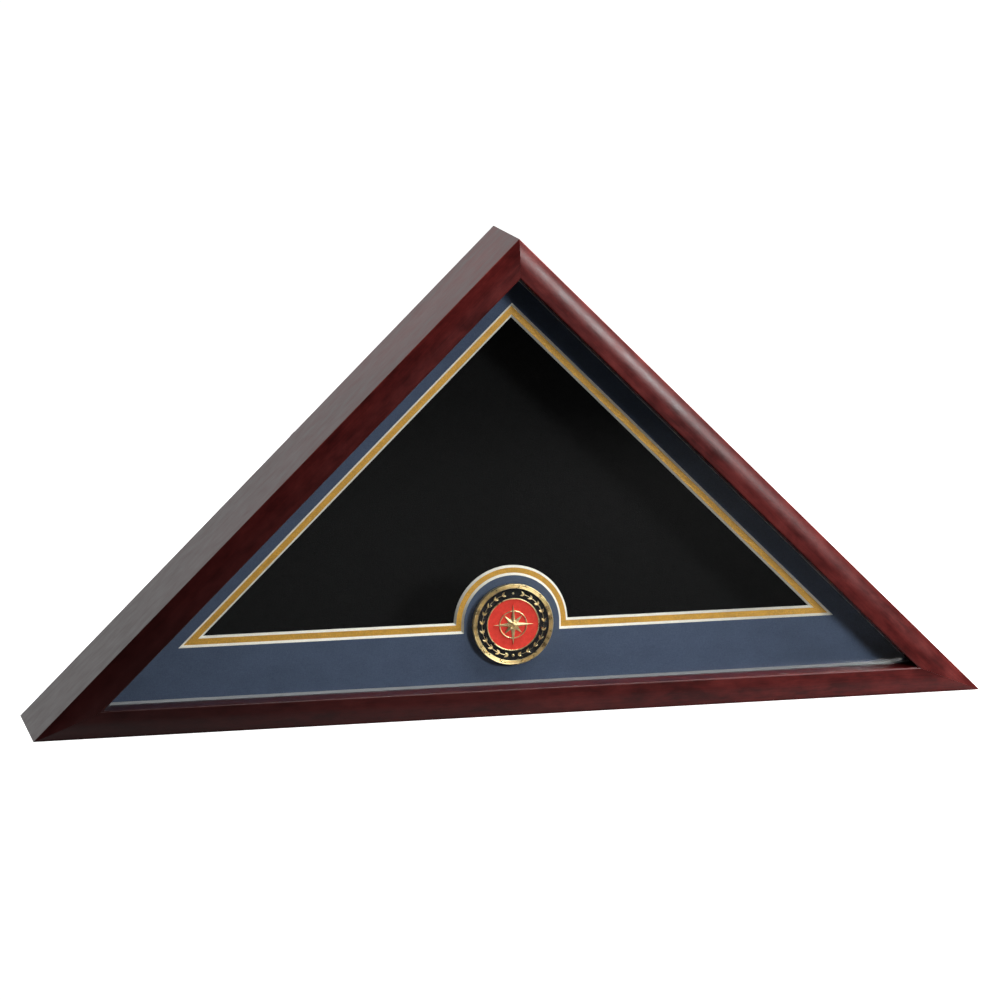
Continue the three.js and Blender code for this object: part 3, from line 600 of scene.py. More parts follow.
def lathe(profile, segments, centre):
    """A closed body turned about a line along Y; the profile's points are radius and depth."""
    bm = bmesh.new()
    rings = []
    for radius, y in profile:
        if radius < ON_AXIS:
            rings.append([bm.verts.new((centre.x, y, centre.z))])
            continue
        rings.append([
            bm.verts.new((centre.x + radius * math.cos(turn), y, centre.z + radius * math.sin(turn)))
            for turn in (2 * math.pi * k / segments for k in range(segments))
        ])
    on_axis = len(rings[0]) == 1
    for first, second in zip(rings, rings[1:] if on_axis else rings[1:] + rings[:1]):
        join_rings(bm, first, second)
    bmesh.ops.recalc_face_normals(bm, faces=bm.faces)
    return bm


def join_rings(bm, first, second):
    """Faces between two rings of corners, either of which may be a single point."""
    count = max(len(first), len(second))
    for k in range(count):
        corners = [first[k % len(first)], first[(k + 1) % len(first)],
                   second[(k + 1) % len(second)], second[k % len(second)]]
        corners = list(dict.fromkeys(corners))
        if len(corners) > 2:
            bm.faces.new(corners)


def arc(radius, depth, size, start, end, steps):
    """Profile points round a centre at radius and depth, from one angle to another in degrees."""
    turns = (math.radians(start + (end - start) * i / steps) for i in range(steps + 1))
    return [(radius + size * math.cos(t), depth - size * math.sin(t)) for t in turns]


def in_place(bm, centre):
    """Turns a piece drawn flat in X-Y, facing +Z, to face the front, and moves it to its centre."""
    bm.transform(Matrix.Translation(centre) @ Matrix.Rotation(math.pi / 2, 4, "X"))


# ---------------------------------------------------------------- geometry node trees


def new_group(name, inputs):
    """A geometry node tree with named inputs. Returns it with its input and output nodes."""
    tree = bpy.data.node_groups.new(name, "GeometryNodeTree")
    tree.interface.new_socket("Geometry", in_out="OUTPUT", socket_type="NodeSocketGeometry")
    tree.interface.new_socket("Geometry", in_out="INPUT", socket_type="NodeSocketGeometry")
    for label, kind in inputs.items():
        tree.interface.new_socket(label, in_out="INPUT", socket_type="NodeSocket" + kind)
    return tree, put(tree, "NodeGroupInput").outputs


def end_group(tree, instances, material):
    real = put(tree, "GeometryNodeRealizeInstances", {0: instances})
    coated = put(tree, "GeometryNodeSetMaterial", {"Geometry": real.outputs[0], "Material": material})
    put(tree, "NodeGroupOutput", {0: coated.outputs[0]})


def grown(mesh, tree, values):
    """The plain mesh that a node tree makes from a mesh and the values of its named inputs."""
    holder = bpy.data.objects.new("holder", mesh)
    bpy.context.scene.collection.objects.link(holder)
    modifier = holder.modifiers.new("grow", "NODES")
    modifier.node_group = tree
    for item in tree.interface.items_tree:
        if item.item_type == "SOCKET" and item.in_out == "INPUT" and item.name in values:
            modifier[item.identifier] = values[item.name]
    bpy.context.view_layer.update()
    evaluated = holder.evaluated_get(bpy.context.evaluated_depsgraph_get())
    made = bpy.data.meshes.new_from_object(evaluated)
    bpy.data.objects.remove(holder)
    return made


def pattern_object(bm, name):
    """An object that a node tree copies, to be removed once the copies are made."""
    mesh = bpy.data.meshes.new(name)
    bm.to_mesh(mesh)
    bm.free()
    pattern = bpy.data.objects.new(name, mesh)
    bpy.context.scene.collection.objects.link(pattern)
    return pattern


def screws_tree():
    """Copies a screw to each point, each turned by its own amount about its axis."""
    tree, given = new_group("case_screws", {"Screw": "Object", "Finish": "Material", "Seed": "Int"})
    screw = put(tree, "GeometryNodeObjectInfo", {"Object": given["Screw"], "As Instance": True})
    spin = put(tree, "FunctionNodeRandomValue", {
        0: (0, -math.pi, 0), 1: (0, math.pi, 0), "Seed": given["Seed"]}, data_type="FLOAT_VECTOR")
    copies = put(tree, "GeometryNodeInstanceOnPoints", {
        "Points": given["Geometry"], "Instance": screw.outputs["Geometry"], "Rotation": spin.outputs[0]})
    end_group(tree, copies.outputs[0], given["Finish"])
    return tree


def laurel_tree():
    """One laurel branch: leaf pairs along an arc, and the stem that carries them."""
    tree, given = new_group("case_laurel", {
        "Leaves": "Object", "Finish": "Material", "Pairs": "Int", "Radius": "Float",
        "Start": "Float", "Sweep": "Float", "Stem": "Float"})
    line = put(tree, "GeometryNodeCurveArc", {
        "Resolution": 48, "Radius": given["Radius"], "Start Angle": given["Start"],
        "Sweep Angle": given["Sweep"]}, mode="RADIUS").outputs[0]
    spots = put(tree, "GeometryNodeCurveToPoints", {"Curve": line, "Count": given["Pairs"]}, mode="COUNT")
    along = put(tree, "FunctionNodeAlignRotationToVector", {"Vector": spots.outputs["Tangent"]},
                axis="X", pivot_axis="Z")
    leaves = put(tree, "GeometryNodeObjectInfo", {"Object": given["Leaves"], "As Instance": True})
    copies = put(tree, "GeometryNodeInstanceOnPoints", {
        "Points": spots.outputs["Points"], "Instance": leaves.outputs["Geometry"],
        "Rotation": along.outputs[0]})
    section = put(tree, "GeometryNodeCurvePrimitiveCircle", {"Resolution": 8, "Radius": given["Stem"]},
                  mode="RADIUS")
    stem = put(tree, "GeometryNodeCurveToMesh", {
        "Curve": line, "Profile Curve": section.outputs[0], "Fill Caps": True})
    branch = put(tree, "GeometryNodeJoinGeometry")
    for part in (stem.outputs[0], copies.outputs[0]):
        tree.links.new(part, branch.inputs[0])
    end_group(tree, branch.outputs[0], given["Finish"])
    return tree


# ---------------------------------------------------------------- rails


SHORTEST_ARRIS = 0.3  # metres; the rails' own long edges are all longer
GRAIN_SHIFT = 1.7  # metres of grain between one rail and the next, so that no two look alike


def rail(side, wood):
    """A mitred rail with softened arrises, its grain running along it."""
    along, inward = SIDES[side]
    bm = clean_copy("rail_" + side)

    def runs_along(edge):
        span = edge.verts[1].co - edge.verts[0].co
        return span.length > SHORTEST_ARRIS and abs(span.normalized().dot(along)) > 0.999

    rounded_faces = set(rounded(bm, wood.arris, 4, runs_along))
    shaded(bm, crisp=lambda face: abs(face.normal.dot(along)) > 0.05)
    grain = bm.verts.layers.float_vector.new("grain")
    shift = Vector((list(SIDES).index(side) * GRAIN_SHIFT, 0, 0))
    for v in bm.verts:
        v[grain] = Vector((v.co.dot(along), v.co.dot(inward), v.co.y)) + shift
    bm.faces.index_update()
    worn = [float(face in rounded_faces) for face in bm.faces]
    made = piece(bm, f"{side}_rail", "case", ["cherry_wood"], ["rail_" + side], flats=True)
    wear = made.data.attributes.new("wear", "FLOAT", "FACE")
    wear.data.foreach_set("value", worn)


# ---------------------------------------------------------------- mats


def mat_board(node, name, paper):
    """A mat board: its paper on the front face, and the white core on the bevels and the back."""
    bm = clean_copy(node)
    shaded(bm)
    for face in bm.faces:
        face.material_index = 0 if face.normal.y < -0.9 else 1
    piece(bm, name, "case", [paper, "board_core"], [node], flats=True)


# ---------------------------------------------------------------- medallion


BACK_ROUND = 0.4 * MM
SHOULDER_SUNK = 0.7 * MM  # from the front of the beads to the edge of the black ring's channel
WALL_SUNK = 0.3 * MM  # from the front of the beads to the wall round the red field
HUB_HOLE = 0.1 * MM  # enamel with a smaller inner radius than this is a full disc
MENISCUS_POWER = 5

LEAF_LEAN = math.radians(27)
LEAF_STATIONS = (0, 0.14, 0.32, 0.52, 0.74, 0.9, 1)
LEAF_FLANK = 0.62  # the height of a leaf half-way to its edge, as a share of its ridge
LEAF_APART = 0.2 * MM
LEAF_TIP = 0.01 * MM
BERRY_PLACE = (0.4 * MM, 0, 0.18 * MM)
BERRY_RADIUS = 0.34 * MM
BRANCH_START = 9  # degrees from the foot of the ring
BRANCH_SWEEP = 150
STEM_RADIUS = 0.17 * MM
KNOTS = ((-90, 0.95 * MM), (90, 0.75 * MM))  # degrees round the ring, and radius
KNOT_FLATTENED = 0.6

ROSE_ARRIS = 0.07 * MM
ROSE_RING = (0.42 * MM, 0.15 * MM)  # the radius of its wire, and how far it is sunk
HUB_RING_RADIUS = 2.6 * MM
HUB_RING = (0.3 * MM, 1.2 * MM)
BOSS_RADIUS = 1.9 * MM
BOSS_SUNK = 0.75 * MM


def disc(medal, centre):
    """The struck disc: a beaded rim, a channel for the black ring and a walled red field."""
    low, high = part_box("medallion_body")
    radius = radii("medallion_body", centre)[1]
    ring_inner, ring_outer = radii("medallion_black_enamel", centre)
    red_outer = radii("medallion_red_enamel", centre)[1]
    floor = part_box("medallion_black_enamel")[1].y
    profile = [(0, high.y), *arc(radius - BACK_ROUND, high.y - BACK_ROUND, BACK_ROUND, -90, 0, 5)]
    edge = radius
    for size in (medal.outer_bead, medal.middle_bead, medal.inner_bead):
        profile += arc(edge - size, low.y + medal.outer_bead, size, 0, 180, 12)
        edge -= 2 * size + medal.bead_gap
        profile.append((edge + medal.bead_gap / 2, low.y + medal.outer_bead + medal.bead_gap / 2))
    profile.append((ring_outer, low.y + SHOULDER_SUNK))
    profile.append((ring_outer, floor))
    wall = (ring_inner - red_outer) / 2
    profile.append((ring_inner, floor))
    profile += arc(red_outer + wall, low.y + WALL_SUNK + wall, wall, 0, 180, 10)
    profile += [(red_outer, floor), (0, floor)]
    bm = lathe(profile, medal.segments, centre)
    shaded(bm, 50)
    piece(bm, "medallion_disc", "case", ["gold_plate"], ["medallion_body"])


def enamel_fill(node, name, material, medal, centre):
    """Enamel poured between two walls, which it climbs a little at its edges."""
    low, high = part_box(node)
    inner, outer = radii(node, centre)
    solid = inner < HUB_HOLE
    start = 0 if solid else inner
    steps = 16
    top = []
    for i in range(steps + 1):
        share = i / steps
        reach = share if solid else 2 * share - 1
        sink = medal.meniscus * (1 - abs(reach) ** MENISCUS_POWER)
        top.append((outer + (start - outer) * (1 - share), low.y + sink))
    profile = [*top, (outer, high.y), (start, high.y)]
    bm = lathe(profile, medal.segments, centre)
    shaded(bm, 50)
    piece(bm, name, "case", [material], [node])


def laurel_leaves(medal):
    """A pair of leaves and a berry, drawn along +X and facing +Z."""
    bm = bmesh.new()
    for lean in (-1, 1):
        turn = Matrix.Rotation(lean * LEAF_LEAN, 3, "Z")
        rows = []
        for share in LEAF_STATIONS:
            half = medal.leaf_width / 2 * math.sin(math.pi * share ** 0.8)
            rise = medal.leaf_height * math.sin(math.pi * min(1, 0.12 + share * 0.8))
            x = share * medal.leaf_length
            flank = rise * LEAF_FLANK
            points = [(x, -half, 0), (x, -half / 2, flank), (x, 0, rise), (x, half / 2, flank), (x, half, 0)]
            if half < LEAF_TIP:
                points = [(x, 0, 0)]
            offset = Vector((0, lean * LEAF_APART, 0))
            rows.append([bm.verts.new(turn @ Vector(p) + offset) for p in points])
        for first, second in zip(rows, rows[1:]):
            join_rings(bm, first, second)
    berry = Matrix.Translation(BERRY_PLACE)
    bmesh.ops.create_icosphere(bm, subdivisions=1, radius=BERRY_RADIUS, matrix=berry)
    bmesh.ops.recalc_face_normals(bm, faces=bm.faces)
    shaded(bm, 50)
    return bm


def laurel(medal, centre):
    """Two laurel branches that rise from the foot of the black ring and nearly meet at its top."""
    inner, outer = radii("medallion_black_enamel", centre)
    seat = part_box("medallion_black_enamel")[0].y + medal.meniscus
    ring = (inner + outer) / 2
    leaves = pattern_object(laurel_leaves(medal), "laurel_pattern")
    tree = laurel_tree()
    whole = bmesh.new()
    for way in (-1, 1):
        branch = grown(bpy.data.meshes.new("start"), tree, {
            "Leaves": leaves, "Finish": finish("gold_plate"), "Pairs": medal.leaf_pairs,
            "Radius": ring, "Start": math.radians(-90 + way * BRANCH_START),
            "Sweep": math.radians(way * BRANCH_SWEEP), "Stem": STEM_RADIUS,
        })
        whole.from_mesh(branch)
    bpy.data.objects.remove(leaves)
    for angle, size in KNOTS:
        turn = math.radians(angle)
        spot = Matrix.Translation((ring * math.cos(turn), ring * math.sin(turn), 0))
        flat = Matrix.Diagonal((1, 1, KNOT_FLATTENED, 1))
        bmesh.ops.create_uvsphere(whole, u_segments=20, v_segments=12, radius=size, matrix=spot @ flat)
    in_place(whole, Vector((centre.x, seat, centre.z)))
    shaded(whole, 50)
    piece(whole, "laurel_ring", "case", ["gold_plate"])


def compass_rose(medal, centre):
    """An eight-pointed rose with ridged points, a ring laid over it and a round boss."""
    bm = clean_copy("medallion_emblem")
    rounded(bm, ROSE_ARRIS, 2, over=12)
    shaded(bm, 30)
    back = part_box("medallion_emblem")[1].y
    for radius, size, lift in ((medal.rose_ring, *ROSE_RING), (HUB_RING_RADIUS, *HUB_RING)):
        ring = lathe(arc(radius, back - lift, size, 0, 337.5, 15), 96, centre)
        shaded(ring, 60)
        add_mesh(bm, ring)
    boss = lathe([(0, back), *arc(0, back - BOSS_SUNK, BOSS_RADIUS, -20, 90, 9)], 40, centre)
    shaded(boss, 60)
    add_mesh(bm, boss)
    piece(bm, "compass_rose", "case", ["gold_plate"], ["medallion_emblem"])


def add_mesh(target, source):
    """Adds one bmesh's faces to another."""
    carrier = bpy.data.meshes.new("carrier")
    source.to_mesh(carrier)
    source.free()
    target.from_mesh(carrier)
    bpy.data.meshes.remove(carrier)


# ---------------------------------------------------------------- felt


FELT_ROUND = 0.012  # where the rounded edge ends, as a share of the way to the middle
FELT_ROUND_SUNK = 0.45  # how far the rim lies back, as a share of the thickness
FELT_RIM_CLEAR = 0.6  # how far the inner points keep from the lower rim, as a share of the step
FELT_WAVE_LENGTH = 0.045  # metres


def felt_sheet(mats):
    """The felt glued on the door: a cut triangle, softly uneven, with its edges rounded over."""
    low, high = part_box("back_felt")
    thick = high.y - low.y
    corner = [Vector((low.x, low.z)), Vector((high.x, low.z)), Vector(((low.x + high.x) / 2, high.z))]
    columns = int((high.x - low.x) / mats.felt_step)
    points = []
    for a, b in ((0, 1), (1, 2), (2, 0)):
        for i in range(columns):
            points.append(corner[a].lerp(corner[b], i / columns))
    rim = len(points)
    edges = [(i, (i + 1) % rim) for i in range(rim)]
    centre = (corner[0] + corner[1] + corner[2]) / 3
    inset = [p.lerp(centre, FELT_ROUND) for p in points]
    rows = int((high.z - low.z) / mats.felt_step)
    inner = []
    for row in range(1, rows):
        share = row / rows
        left, right = corner[0].lerp(corner[2], share), corner[1].lerp(corner[2], share)
        count = max(2, int((right.x - left.x) / mats.felt_step))
        inner += [left.lerp(right, (i + 0.5) / count) for i in range(1, count - 1)]
    inner = [p for p in inner if p.y > low.z + FELT_RIM_CLEAR * mats.felt_step]
    flat, _, faces, *_ = delaunay_2d_cdt([*points, *inset, *inner], edges, [], 1, 1e-7)
    bm = bmesh.new()
    front, back = [], []
    for i, p in enumerate(flat):
        sunk = FELT_ROUND_SUNK * thick if i < rim else 0
        wave = 0 if i < rim else mats.felt_wave * noise.noise(Vector((p.x, p.y, 0)) / FELT_WAVE_LENGTH)
        front.append(bm.verts.new((p.x, low.y + sunk + max(wave, 0), p.y)))
        back.append(bm.verts.new((p.x, high.y, p.y)))
    for a, b, c in faces:
        bm.faces.new((front[a], front[b], front[c]))
        bm.faces.new((back[c], back[b], back[a]))
    for i, j in edges:
        bm.faces.new((front[j], front[i], back[i], back[j]))
    bmesh.ops.recalc_face_normals(bm, faces=bm.faces)
    shaded(bm, 60)
    sheet = piece(bm, "door_felt", "door", ["black_felt"], ["back_felt"])


# ---------------------------------------------------------------- screws


SCREW_SIDES = 40
HEAD_SIDE_SHARE = 0.35  # the straight side of a head, as a share of its height
HEAD_RINGS = (0.985, 0.94, 0.85, 0.72, 0.6)
BETWEEN_ARMS = 0.38  # where the head's innermost points lie, as a share of its radius
RECESS_TAPER = 0.72  # the recess's size at its floor, as a share of that at its mouth
SHANK_SHARE = 0.46  # the shank's radius, as a share of the head's
THREAD_ROOT = 0.72  # the radius between two threads, as a share of the shank's
THREAD_START = 0.6 * MM  # below the head
UNTHREADED = 2.4 * MM
TIP_ROOT = 0.7  # the radius where the tip starts, as a share of the shank's
TIP_LENGTH = 1.4 * MM


def pan_head_screw(kit, head_radius, shank_radius, shank_length):
    """A pan-head screw with a cross recess, along +Y, its head seated at Y = 0."""
    height = kit.head_height
    side = HEAD_SIDE_SHARE * height
    reach, half = kit.recess_reach, kit.recess_width / 2

    def dome(x, z):
        share = min(1, math.hypot(x, z) / head_radius)
        return side + (height - side) * math.sqrt(1 - share ** 2)

    def circle(radius, count=SCREW_SIDES):
        return [Vector((radius * math.cos(t), radius * math.sin(t)))
                for t in (2 * math.pi * k / count for k in range(count))]

    arm = [(reach, -half), (reach, half), (half, half)]
    cross = [Matrix.Rotation(quarter * math.pi / 2, 2) @ Vector(p) for quarter in range(4) for p in arm]
    outer = circle(head_radius)
    rings = [p for share in HEAD_RINGS for p in circle(head_radius * share)]
    between = circle(BETWEEN_ARMS * head_radius, 8)[1::2]
    count, arms = len(outer), len(cross)
    loops = [(i, (i + 1) % count) for i in range(count)]
    loops += [(count + i, count + (i + 1) % arms) for i in range(arms)]
    flat, _, faces, *_ = delaunay_2d_cdt([*outer, *cross, *rings, *between], loops, [], 0, 1e-9)
    bm = bmesh.new()
    top = [bm.verts.new((p.x, dome(p.x, p.y), p.y)) for p in flat]
    inside = set(range(count, count + arms))
    for face in faces:
        if not set(face) <= inside:
            bm.faces.new([top[i] for i in face])
    rim, walls = top[:count], top[count:count + arms]
    floor = height - kit.recess_depth
    deep = [bm.verts.new((v.co.x * RECESS_TAPER, floor, v.co.z * RECESS_TAPER)) for v in walls]
    join_rings(bm, walls, deep)
    bm.faces.new(deep)
    profile = [(head_radius, 0), (shank_radius, 0)]
    turns = int(max(0, shank_length - UNTHREADED) / kit.thread_pitch)
    for turn in range(turns):
        y = -THREAD_START - turn * kit.thread_pitch
        profile += [(shank_radius * THREAD_ROOT, y), (shank_radius, y - kit.thread_pitch / 2)]
    profile += [(shank_radius * TIP_ROOT, -shank_length + TIP_LENGTH), (0, -shank_length)]
    last = rim
    for radius, y in profile:
        ring = circle(radius) if radius else [Vector((0, 0))]
        ring = [bm.verts.new((p.x, y, p.y)) for p in ring]
        join_rings(bm, last, ring)
        last = ring
    bmesh.ops.recalc_face_normals(bm, faces=bm.faces)
    shaded(bm, 40)
    return bm


def screw_set(kit, tree, name, nodes, material):
    """All the screws of one kind on one body, as copies of one screw."""
    low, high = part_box(nodes[0])
    head_radius = (high.x - low.x) / 2
    shank_length = high.y - low.y - kit.head_height
    bm = pan_head_screw(kit, head_radius, head_radius * SHANK_SHARE, shank_length)
    pattern = pattern_object(bm, "screw_pattern")
    spots = bpy.data.meshes.new("screw_spots")
    heads = []
    for node in nodes:
        centre = middle(node)
        heads.append((centre.x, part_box(node)[1].y - kit.head_height, centre.z))
    spots.from_pydata(heads, [], [])
    mesh = grown(spots, tree, {"Screw": pattern, "Finish": finish(material), "Seed": kit.seed})
    bpy.data.objects.remove(pattern)
    body = frame["nodes"][nodes[0]]["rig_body"]
    piece(mesh, name, body, [material], nodes)


# ---------------------------------------------------------------- operators


# The backdrop glows where a direction's Y passes these, and the ceiling where its Z does.
BACKDROP_EDGE = (0.55, 0.85)
CEILING_EDGE = (0.8, 1)
CEILING_SHARE = 0.1
FLOOR_REACH = 14
CARD_EDGE = (-0.1, -0.045)  # the card starts just in front of the case and runs on behind it


class CaseOperator(Operator):
    bl_options = {"REGISTER", "UNDO"}


class FLAGCASE_OT_studio(CaseOperator):
    """Set up the camera, the softboxes, the pale floor and the backdrop"""

    bl_idname = "flagcase.studio"
    bl_label = "Studio"

    def execute(self, context):
        studio = context.scene.case_studio
        context.scene.view_settings.view_transform = "Standard"
        lens = bpy.data.cameras.new("camera")
        lens.lens = studio.lens
        camera = bpy.data.objects.new("camera", lens)
        aimed(camera, studio.camera_place, studio.camera_aim)
        context.scene.camera = camera
        aim = (CAD_BOX[0] + CAD_BOX[1]) / 2
        softbox("key_softbox", studio.key_place, aim, (studio.key_size,) * 2, studio.key_power)
        top_sides = (studio.top_size, studio.top_depth)
        softbox("overhead_softbox", studio.top_place, aim, top_sides, studio.top_power)
        self.backdrop(context, studio)
        self.floor(studio)
        return {"FINISHED"}

    def backdrop(self, context, studio):
        """White to the camera; for the case, a glow from behind and above and a dim room in front."""
        world = bpy.data.worlds.new("backdrop")
        context.scene.world = world
        tree = new_tree(world)
        direction = put(tree, "ShaderNodeTexCoord").outputs["Generated"]
        axes = put(tree, "ShaderNodeSeparateXYZ", {0: direction}).outputs
        behind = mapped(tree, axes["Y"], *BACKDROP_EDGE, 0, 1)
        above = mapped(tree, axes["Z"], *CEILING_EDGE, 0, CEILING_SHARE)
        lit_share = maths(tree, "MAXIMUM", behind, above)
        glow = mapped(tree, lit_share, 0, 1, studio.room_glow, studio.backdrop_glow)
        lit = put(tree, "ShaderNodeBackground", {"Color": (1, 1, 1, 1), "Strength": glow})
        seen = put(tree, "ShaderNodeBackground", {"Color": (1, 1, 1, 1), "Strength": 1.0})
        to_camera = put(tree, "ShaderNodeLightPath").outputs["Is Camera Ray"]
        both = put(tree, "ShaderNodeMixShader", {0: to_camera, 1: lit.outputs[0], 2: seen.outputs[0]})
        put(tree, "ShaderNodeOutputWorld", {"Surface": both.outputs[0]})

    def floor(self, studio):
        """White to the camera; for the case, a dark floor with a paler card under the case and behind it."""
        bm = bmesh.new()
        bmesh.ops.create_grid(bm, x_segments=1, y_segments=1, size=FLOOR_REACH)
        mesh = bpy.data.meshes.new("floor")
        bm.to_mesh(mesh)
        bm.free()
        plane = bpy.data.objects.new("floor", mesh)
        bpy.context.scene.collection.objects.link(plane)
        material = bpy.data.materials.new("pale_floor")
        tree = new_tree(material)
        depth = put(tree, "ShaderNodeSeparateXYZ", {0: own_place(tree)}).outputs["Y"]
        card = mapped(tree, depth, *CARD_EDGE, 0, 1)
        sent = mixed(tree, card, rgba(studio.floor_color), rgba(studio.card_color))
        matt = put(tree, "ShaderNodeBsdfDiffuse", {"Color": sent})
        white = put(tree, "ShaderNodeEmission", {"Color": (1, 1, 1, 1), "Strength": 1.0})
        pale = put(tree, "ShaderNodeAddShader", {0: matt.outputs[0], 1: white.outputs[0]})
        to_camera = put(tree, "ShaderNodeLightPath").outputs["Is Camera Ray"]
        both = put(tree, "ShaderNodeMixShader", {0: to_camera, 1: matt.outputs[0], 2: pale.outputs[0]})
        put(tree, "ShaderNodeOutputMaterial", {"Surface": both.outputs[0]})
        mesh.materials.append(material)


def aimed(thing, place, aim):
    """Places a camera or a lamp and turns it to its aim."""
    thing.location = place
    thing.rotation_euler = (Vector(aim) - Vector(place)).to_track_quat("-Z", "Y").to_euler()
    bpy.context.scene.collection.objects.link(thing)


def softbox(name, place, aim, sides, watts):
    """A rectangular area lamp of two side lengths, unseen by the camera."""
    lamp = bpy.data.lights.new(name, "AREA")
    lamp.shape = "RECTANGLE"
    lamp.size, lamp.size_y = sides
    lamp.energy = watts
    box = bpy.data.objects.new(name, lamp)
    box.visible_camera = False
    aimed(box, place, aim)


class FLAGCASE_OT_rails(CaseOperator):
    """Finish the three mitred cherry rails"""

    bl_idname = "flagcase.rails"
    bl_label = "Rails"

    def execute(self, context):
        for side in SIDES:
            rail(side, context.scene.case_wood)
        return {"FINISHED"}


class FLAGCASE_OT_glazing(CaseOperator):
    """Finish the glass and the spacer strips behind it"""

    bl_idname = "flagcase.glazing"
    bl_label = "Glass and spacers"

    def execute(self, context):
        mats = context.scene.case_mats
        dressed("glass_pane", "picture_glass", "clear_glass", mats.glass_edge, 2)
        for side in SIDES:
            dressed("spacer_" + side, f"{side}_spacer", "black_strip", mats.strip_edge)
        return {"FINISHED"}


class FLAGCASE_OT_mats(CaseOperator):
    """Finish the navy top mat and the gold under mat"""

    bl_idname = "flagcase.mats"
    bl_label = "Mats"

    def execute(self, context):
        mat_board("top_mat", "navy_top_mat", "navy_paper")
        mat_board("under_mat", "gold_under_mat", "gold_paper")
        return {"FINISHED"}


class FLAGCASE_OT_medallion(CaseOperator):
    """Make the medallion: pad, struck disc, enamels, laurel ring and compass rose"""

    bl_idname = "flagcase.medallion"
    bl_label = "Medallion"

    def execute(self, context):
        medal = context.scene.case_medallion
        centre = middle("medallion_body")
        dressed("medallion_pad", "mounting_pad", "foam_tape", medal.pad_edge)
        disc(medal, centre)
        enamel_fill("medallion_black_enamel", "black_ring", "black_enamel", medal, centre)
        enamel_fill("medallion_red_enamel", "red_field", "red_enamel", medal, centre)
        laurel(medal, centre)
        compass_rose(medal, centre)
        return {"FINISHED"}


class FLAGCASE_OT_lining(CaseOperator):
    """Make the felt sheet on the door and the felted liners round the hollow"""

    bl_idname = "flagcase.lining"
    bl_label = "Lining"

    def execute(self, context):
        mats = context.scene.case_mats
        for side in SIDES:
            dressed("liner_" + side, f"{side}_liner", "black_felt", mats.felt_edge, 4)
        felt_sheet(mats)
        return {"FINISHED"}


class FLAGCASE_OT_back_door(CaseOperator):
    """Finish the hardboard back door"""

    bl_idname = "flagcase.back_door"
    bl_label = "Back door"

    def execute(self, context):
        dressed("back_door", "door_panel", "hardboard", context.scene.case_wood.backboard_edge)
        return {"FINISHED"}


class FLAGCASE_OT_hinges(CaseOperator):
    """Finish the two butt hinges and their pins"""

    bl_idname = "flagcase.hinges"
    bl_label = "Hinges"

    def execute(self, context):
        edge = context.scene.case_hardware.sheet_edge
        for side in ("left", "right"):
            for part in ("rail_leaf", "door_leaf", "pin"):
                node = f"hinge_{side}_{part}"
                dressed(node, f"{side}_{part}_of_hinge", "brass", edge)
        return {"FINISHED"}


class FLAGCASE_OT_turn_buttons(CaseOperator):
    """Finish the four turn buttons"""

    bl_idname = "flagcase.turn_buttons"
    bl_label = "Turn buttons"

    def execute(self, context):
        edge = context.scene.case_hardware.button_edge
        for side in ("left", "right"):
            for height in ("low", "high"):
                dressed(f"turn_button_{side}_{height}", f"{side}_{height}_button", "brass", edge)
        return {"FINISHED"}


class FLAGCASE_OT_hangers(CaseOperator):
    """Finish the two D-ring hangers"""

    bl_idname = "flagcase.hangers"
    bl_label = "Hangers"

    def execute(self, context):
        edge = context.scene.case_hardware.sheet_edge
        for side in ("left", "right"):
            dressed(f"hanger_{side}_strap", f"{side}_hanger_strap", "zinc_plate", edge)
            dressed(f"hanger_{side}_ring", f"{side}_d_ring", "zinc_plate", 0, angle=60)
        return {"FINISHED"}


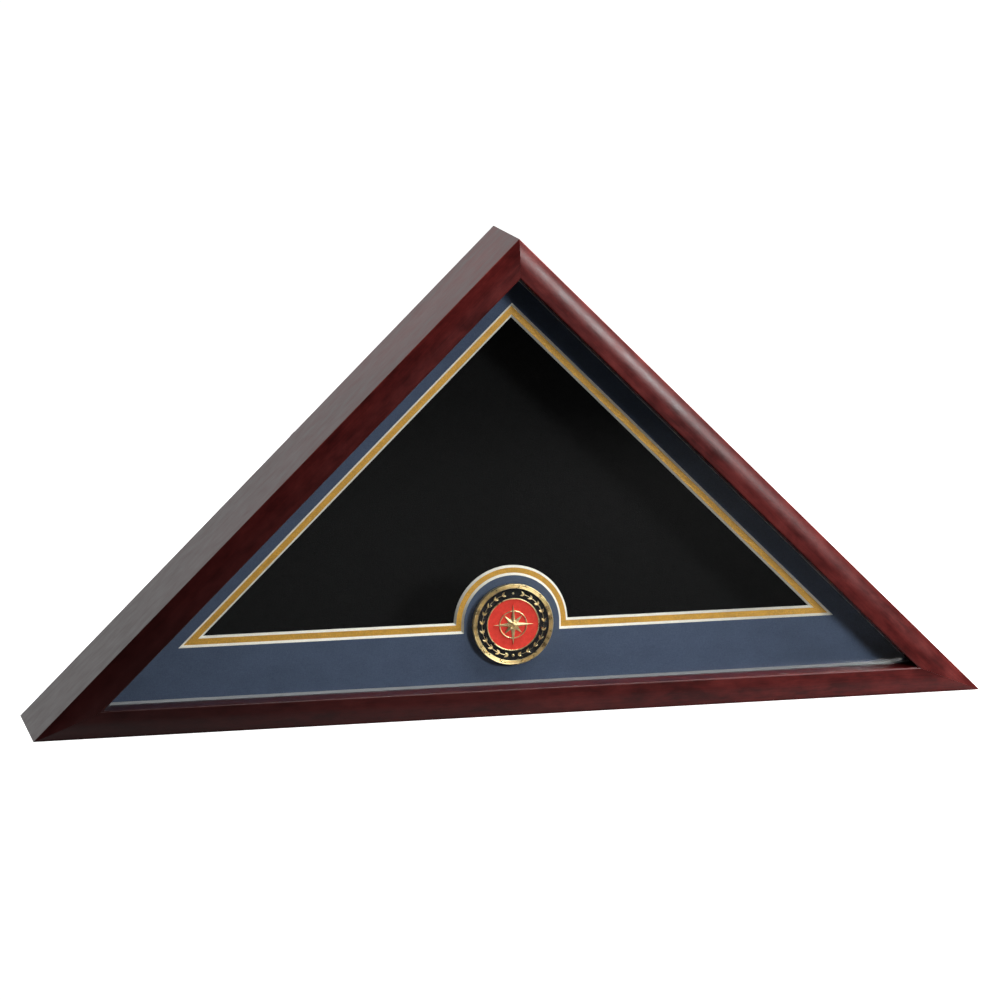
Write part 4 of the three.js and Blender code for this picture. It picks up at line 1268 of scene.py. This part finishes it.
class FLAGCASE_OT_screws(CaseOperator):
    """Make every screw, with its cross recess and thread"""

    bl_idname = "flagcase.screws"
    bl_label = "Screws"

    def execute(self, context):
        kit = context.scene.case_hardware
        tree = screws_tree()
        both, pair = ("left", "right"), (1, 2)
        rail_screws = [f"hinge_{s}_rail_screw_{i}" for s in both for i in pair]
        door_screws = [f"hinge_{s}_door_screw_{i}" for s in both for i in pair]
        button_screws = [f"turn_button_{s}_{h}_screw" for s in both for h in ("low", "high")]
        strap_screws = [f"hanger_{s}_screw" for s in both]
        screw_set(kit, tree, "hinge_rail_screws", rail_screws, "brass")
        screw_set(kit, tree, "hinge_door_screws", door_screws, "brass")
        screw_set(kit, tree, "turn_button_screws", button_screws, "brass")
        screw_set(kit, tree, "hanger_screws", strap_screws, "zinc_plate")
        return {"FINISHED"}


class FLAGCASE_OT_mitre_nails(CaseOperator):
    """Finish the steel chevrons pressed into the back of the mitres"""

    bl_idname = "flagcase.mitre_nails"
    bl_label = "Mitre nails"

    def execute(self, context):
        edge = context.scene.case_hardware.nail_edge
        for corner in ("left", "right", "apex"):
            for where in ("outer", "inner"):
                node = f"mitre_nail_{corner}_{where}"
                dressed(node, f"{corner}_{where}_nail", "zinc_plate", edge, 2)
        return {"FINISHED"}


OPERATORS = (
    FLAGCASE_OT_studio, FLAGCASE_OT_rails, FLAGCASE_OT_glazing, FLAGCASE_OT_mats, FLAGCASE_OT_medallion,
    FLAGCASE_OT_back_door, FLAGCASE_OT_lining, FLAGCASE_OT_hinges, FLAGCASE_OT_turn_buttons,
    FLAGCASE_OT_hangers, FLAGCASE_OT_screws, FLAGCASE_OT_mitre_nails,
)


class FLAGCASE_PT_pieces(Panel):
    """The case's pieces and their sizes and colours"""

    bl_idname = "FLAGCASE_PT_pieces"
    bl_label = "Flag Case"
    bl_space_type = "VIEW_3D"
    bl_region_type = "UI"
    bl_category = "Flag Case"

    def draw(self, context):
        column = self.layout.column()
        for operator in OPERATORS:
            column.operator(operator.bl_idname)
        for name in SETTINGS:
            group = getattr(context.scene, name)
            box = self.layout.box()
            for key in group.__annotations__:
                box.prop(group, key)


def register():
    for kind in (*SETTINGS.values(), *OPERATORS, FLAGCASE_PT_pieces):
        bpy.utils.register_class(kind)
    for name, kind in SETTINGS.items():
        setattr(bpy.types.Scene, name, PointerProperty(type=kind))


def unregister():
    for name in SETTINGS:
        delattr(bpy.types.Scene, name)
    for kind in (FLAGCASE_PT_pieces, *reversed(OPERATORS), *SETTINGS.values()):
        bpy.utils.unregister_class(kind)


def main():
    register()
    for operator in OPERATORS:
        group, name = operator.bl_idname.split(".")
        getattr(getattr(bpy.ops, group), name)()


if __name__ == "__main__":
    main()
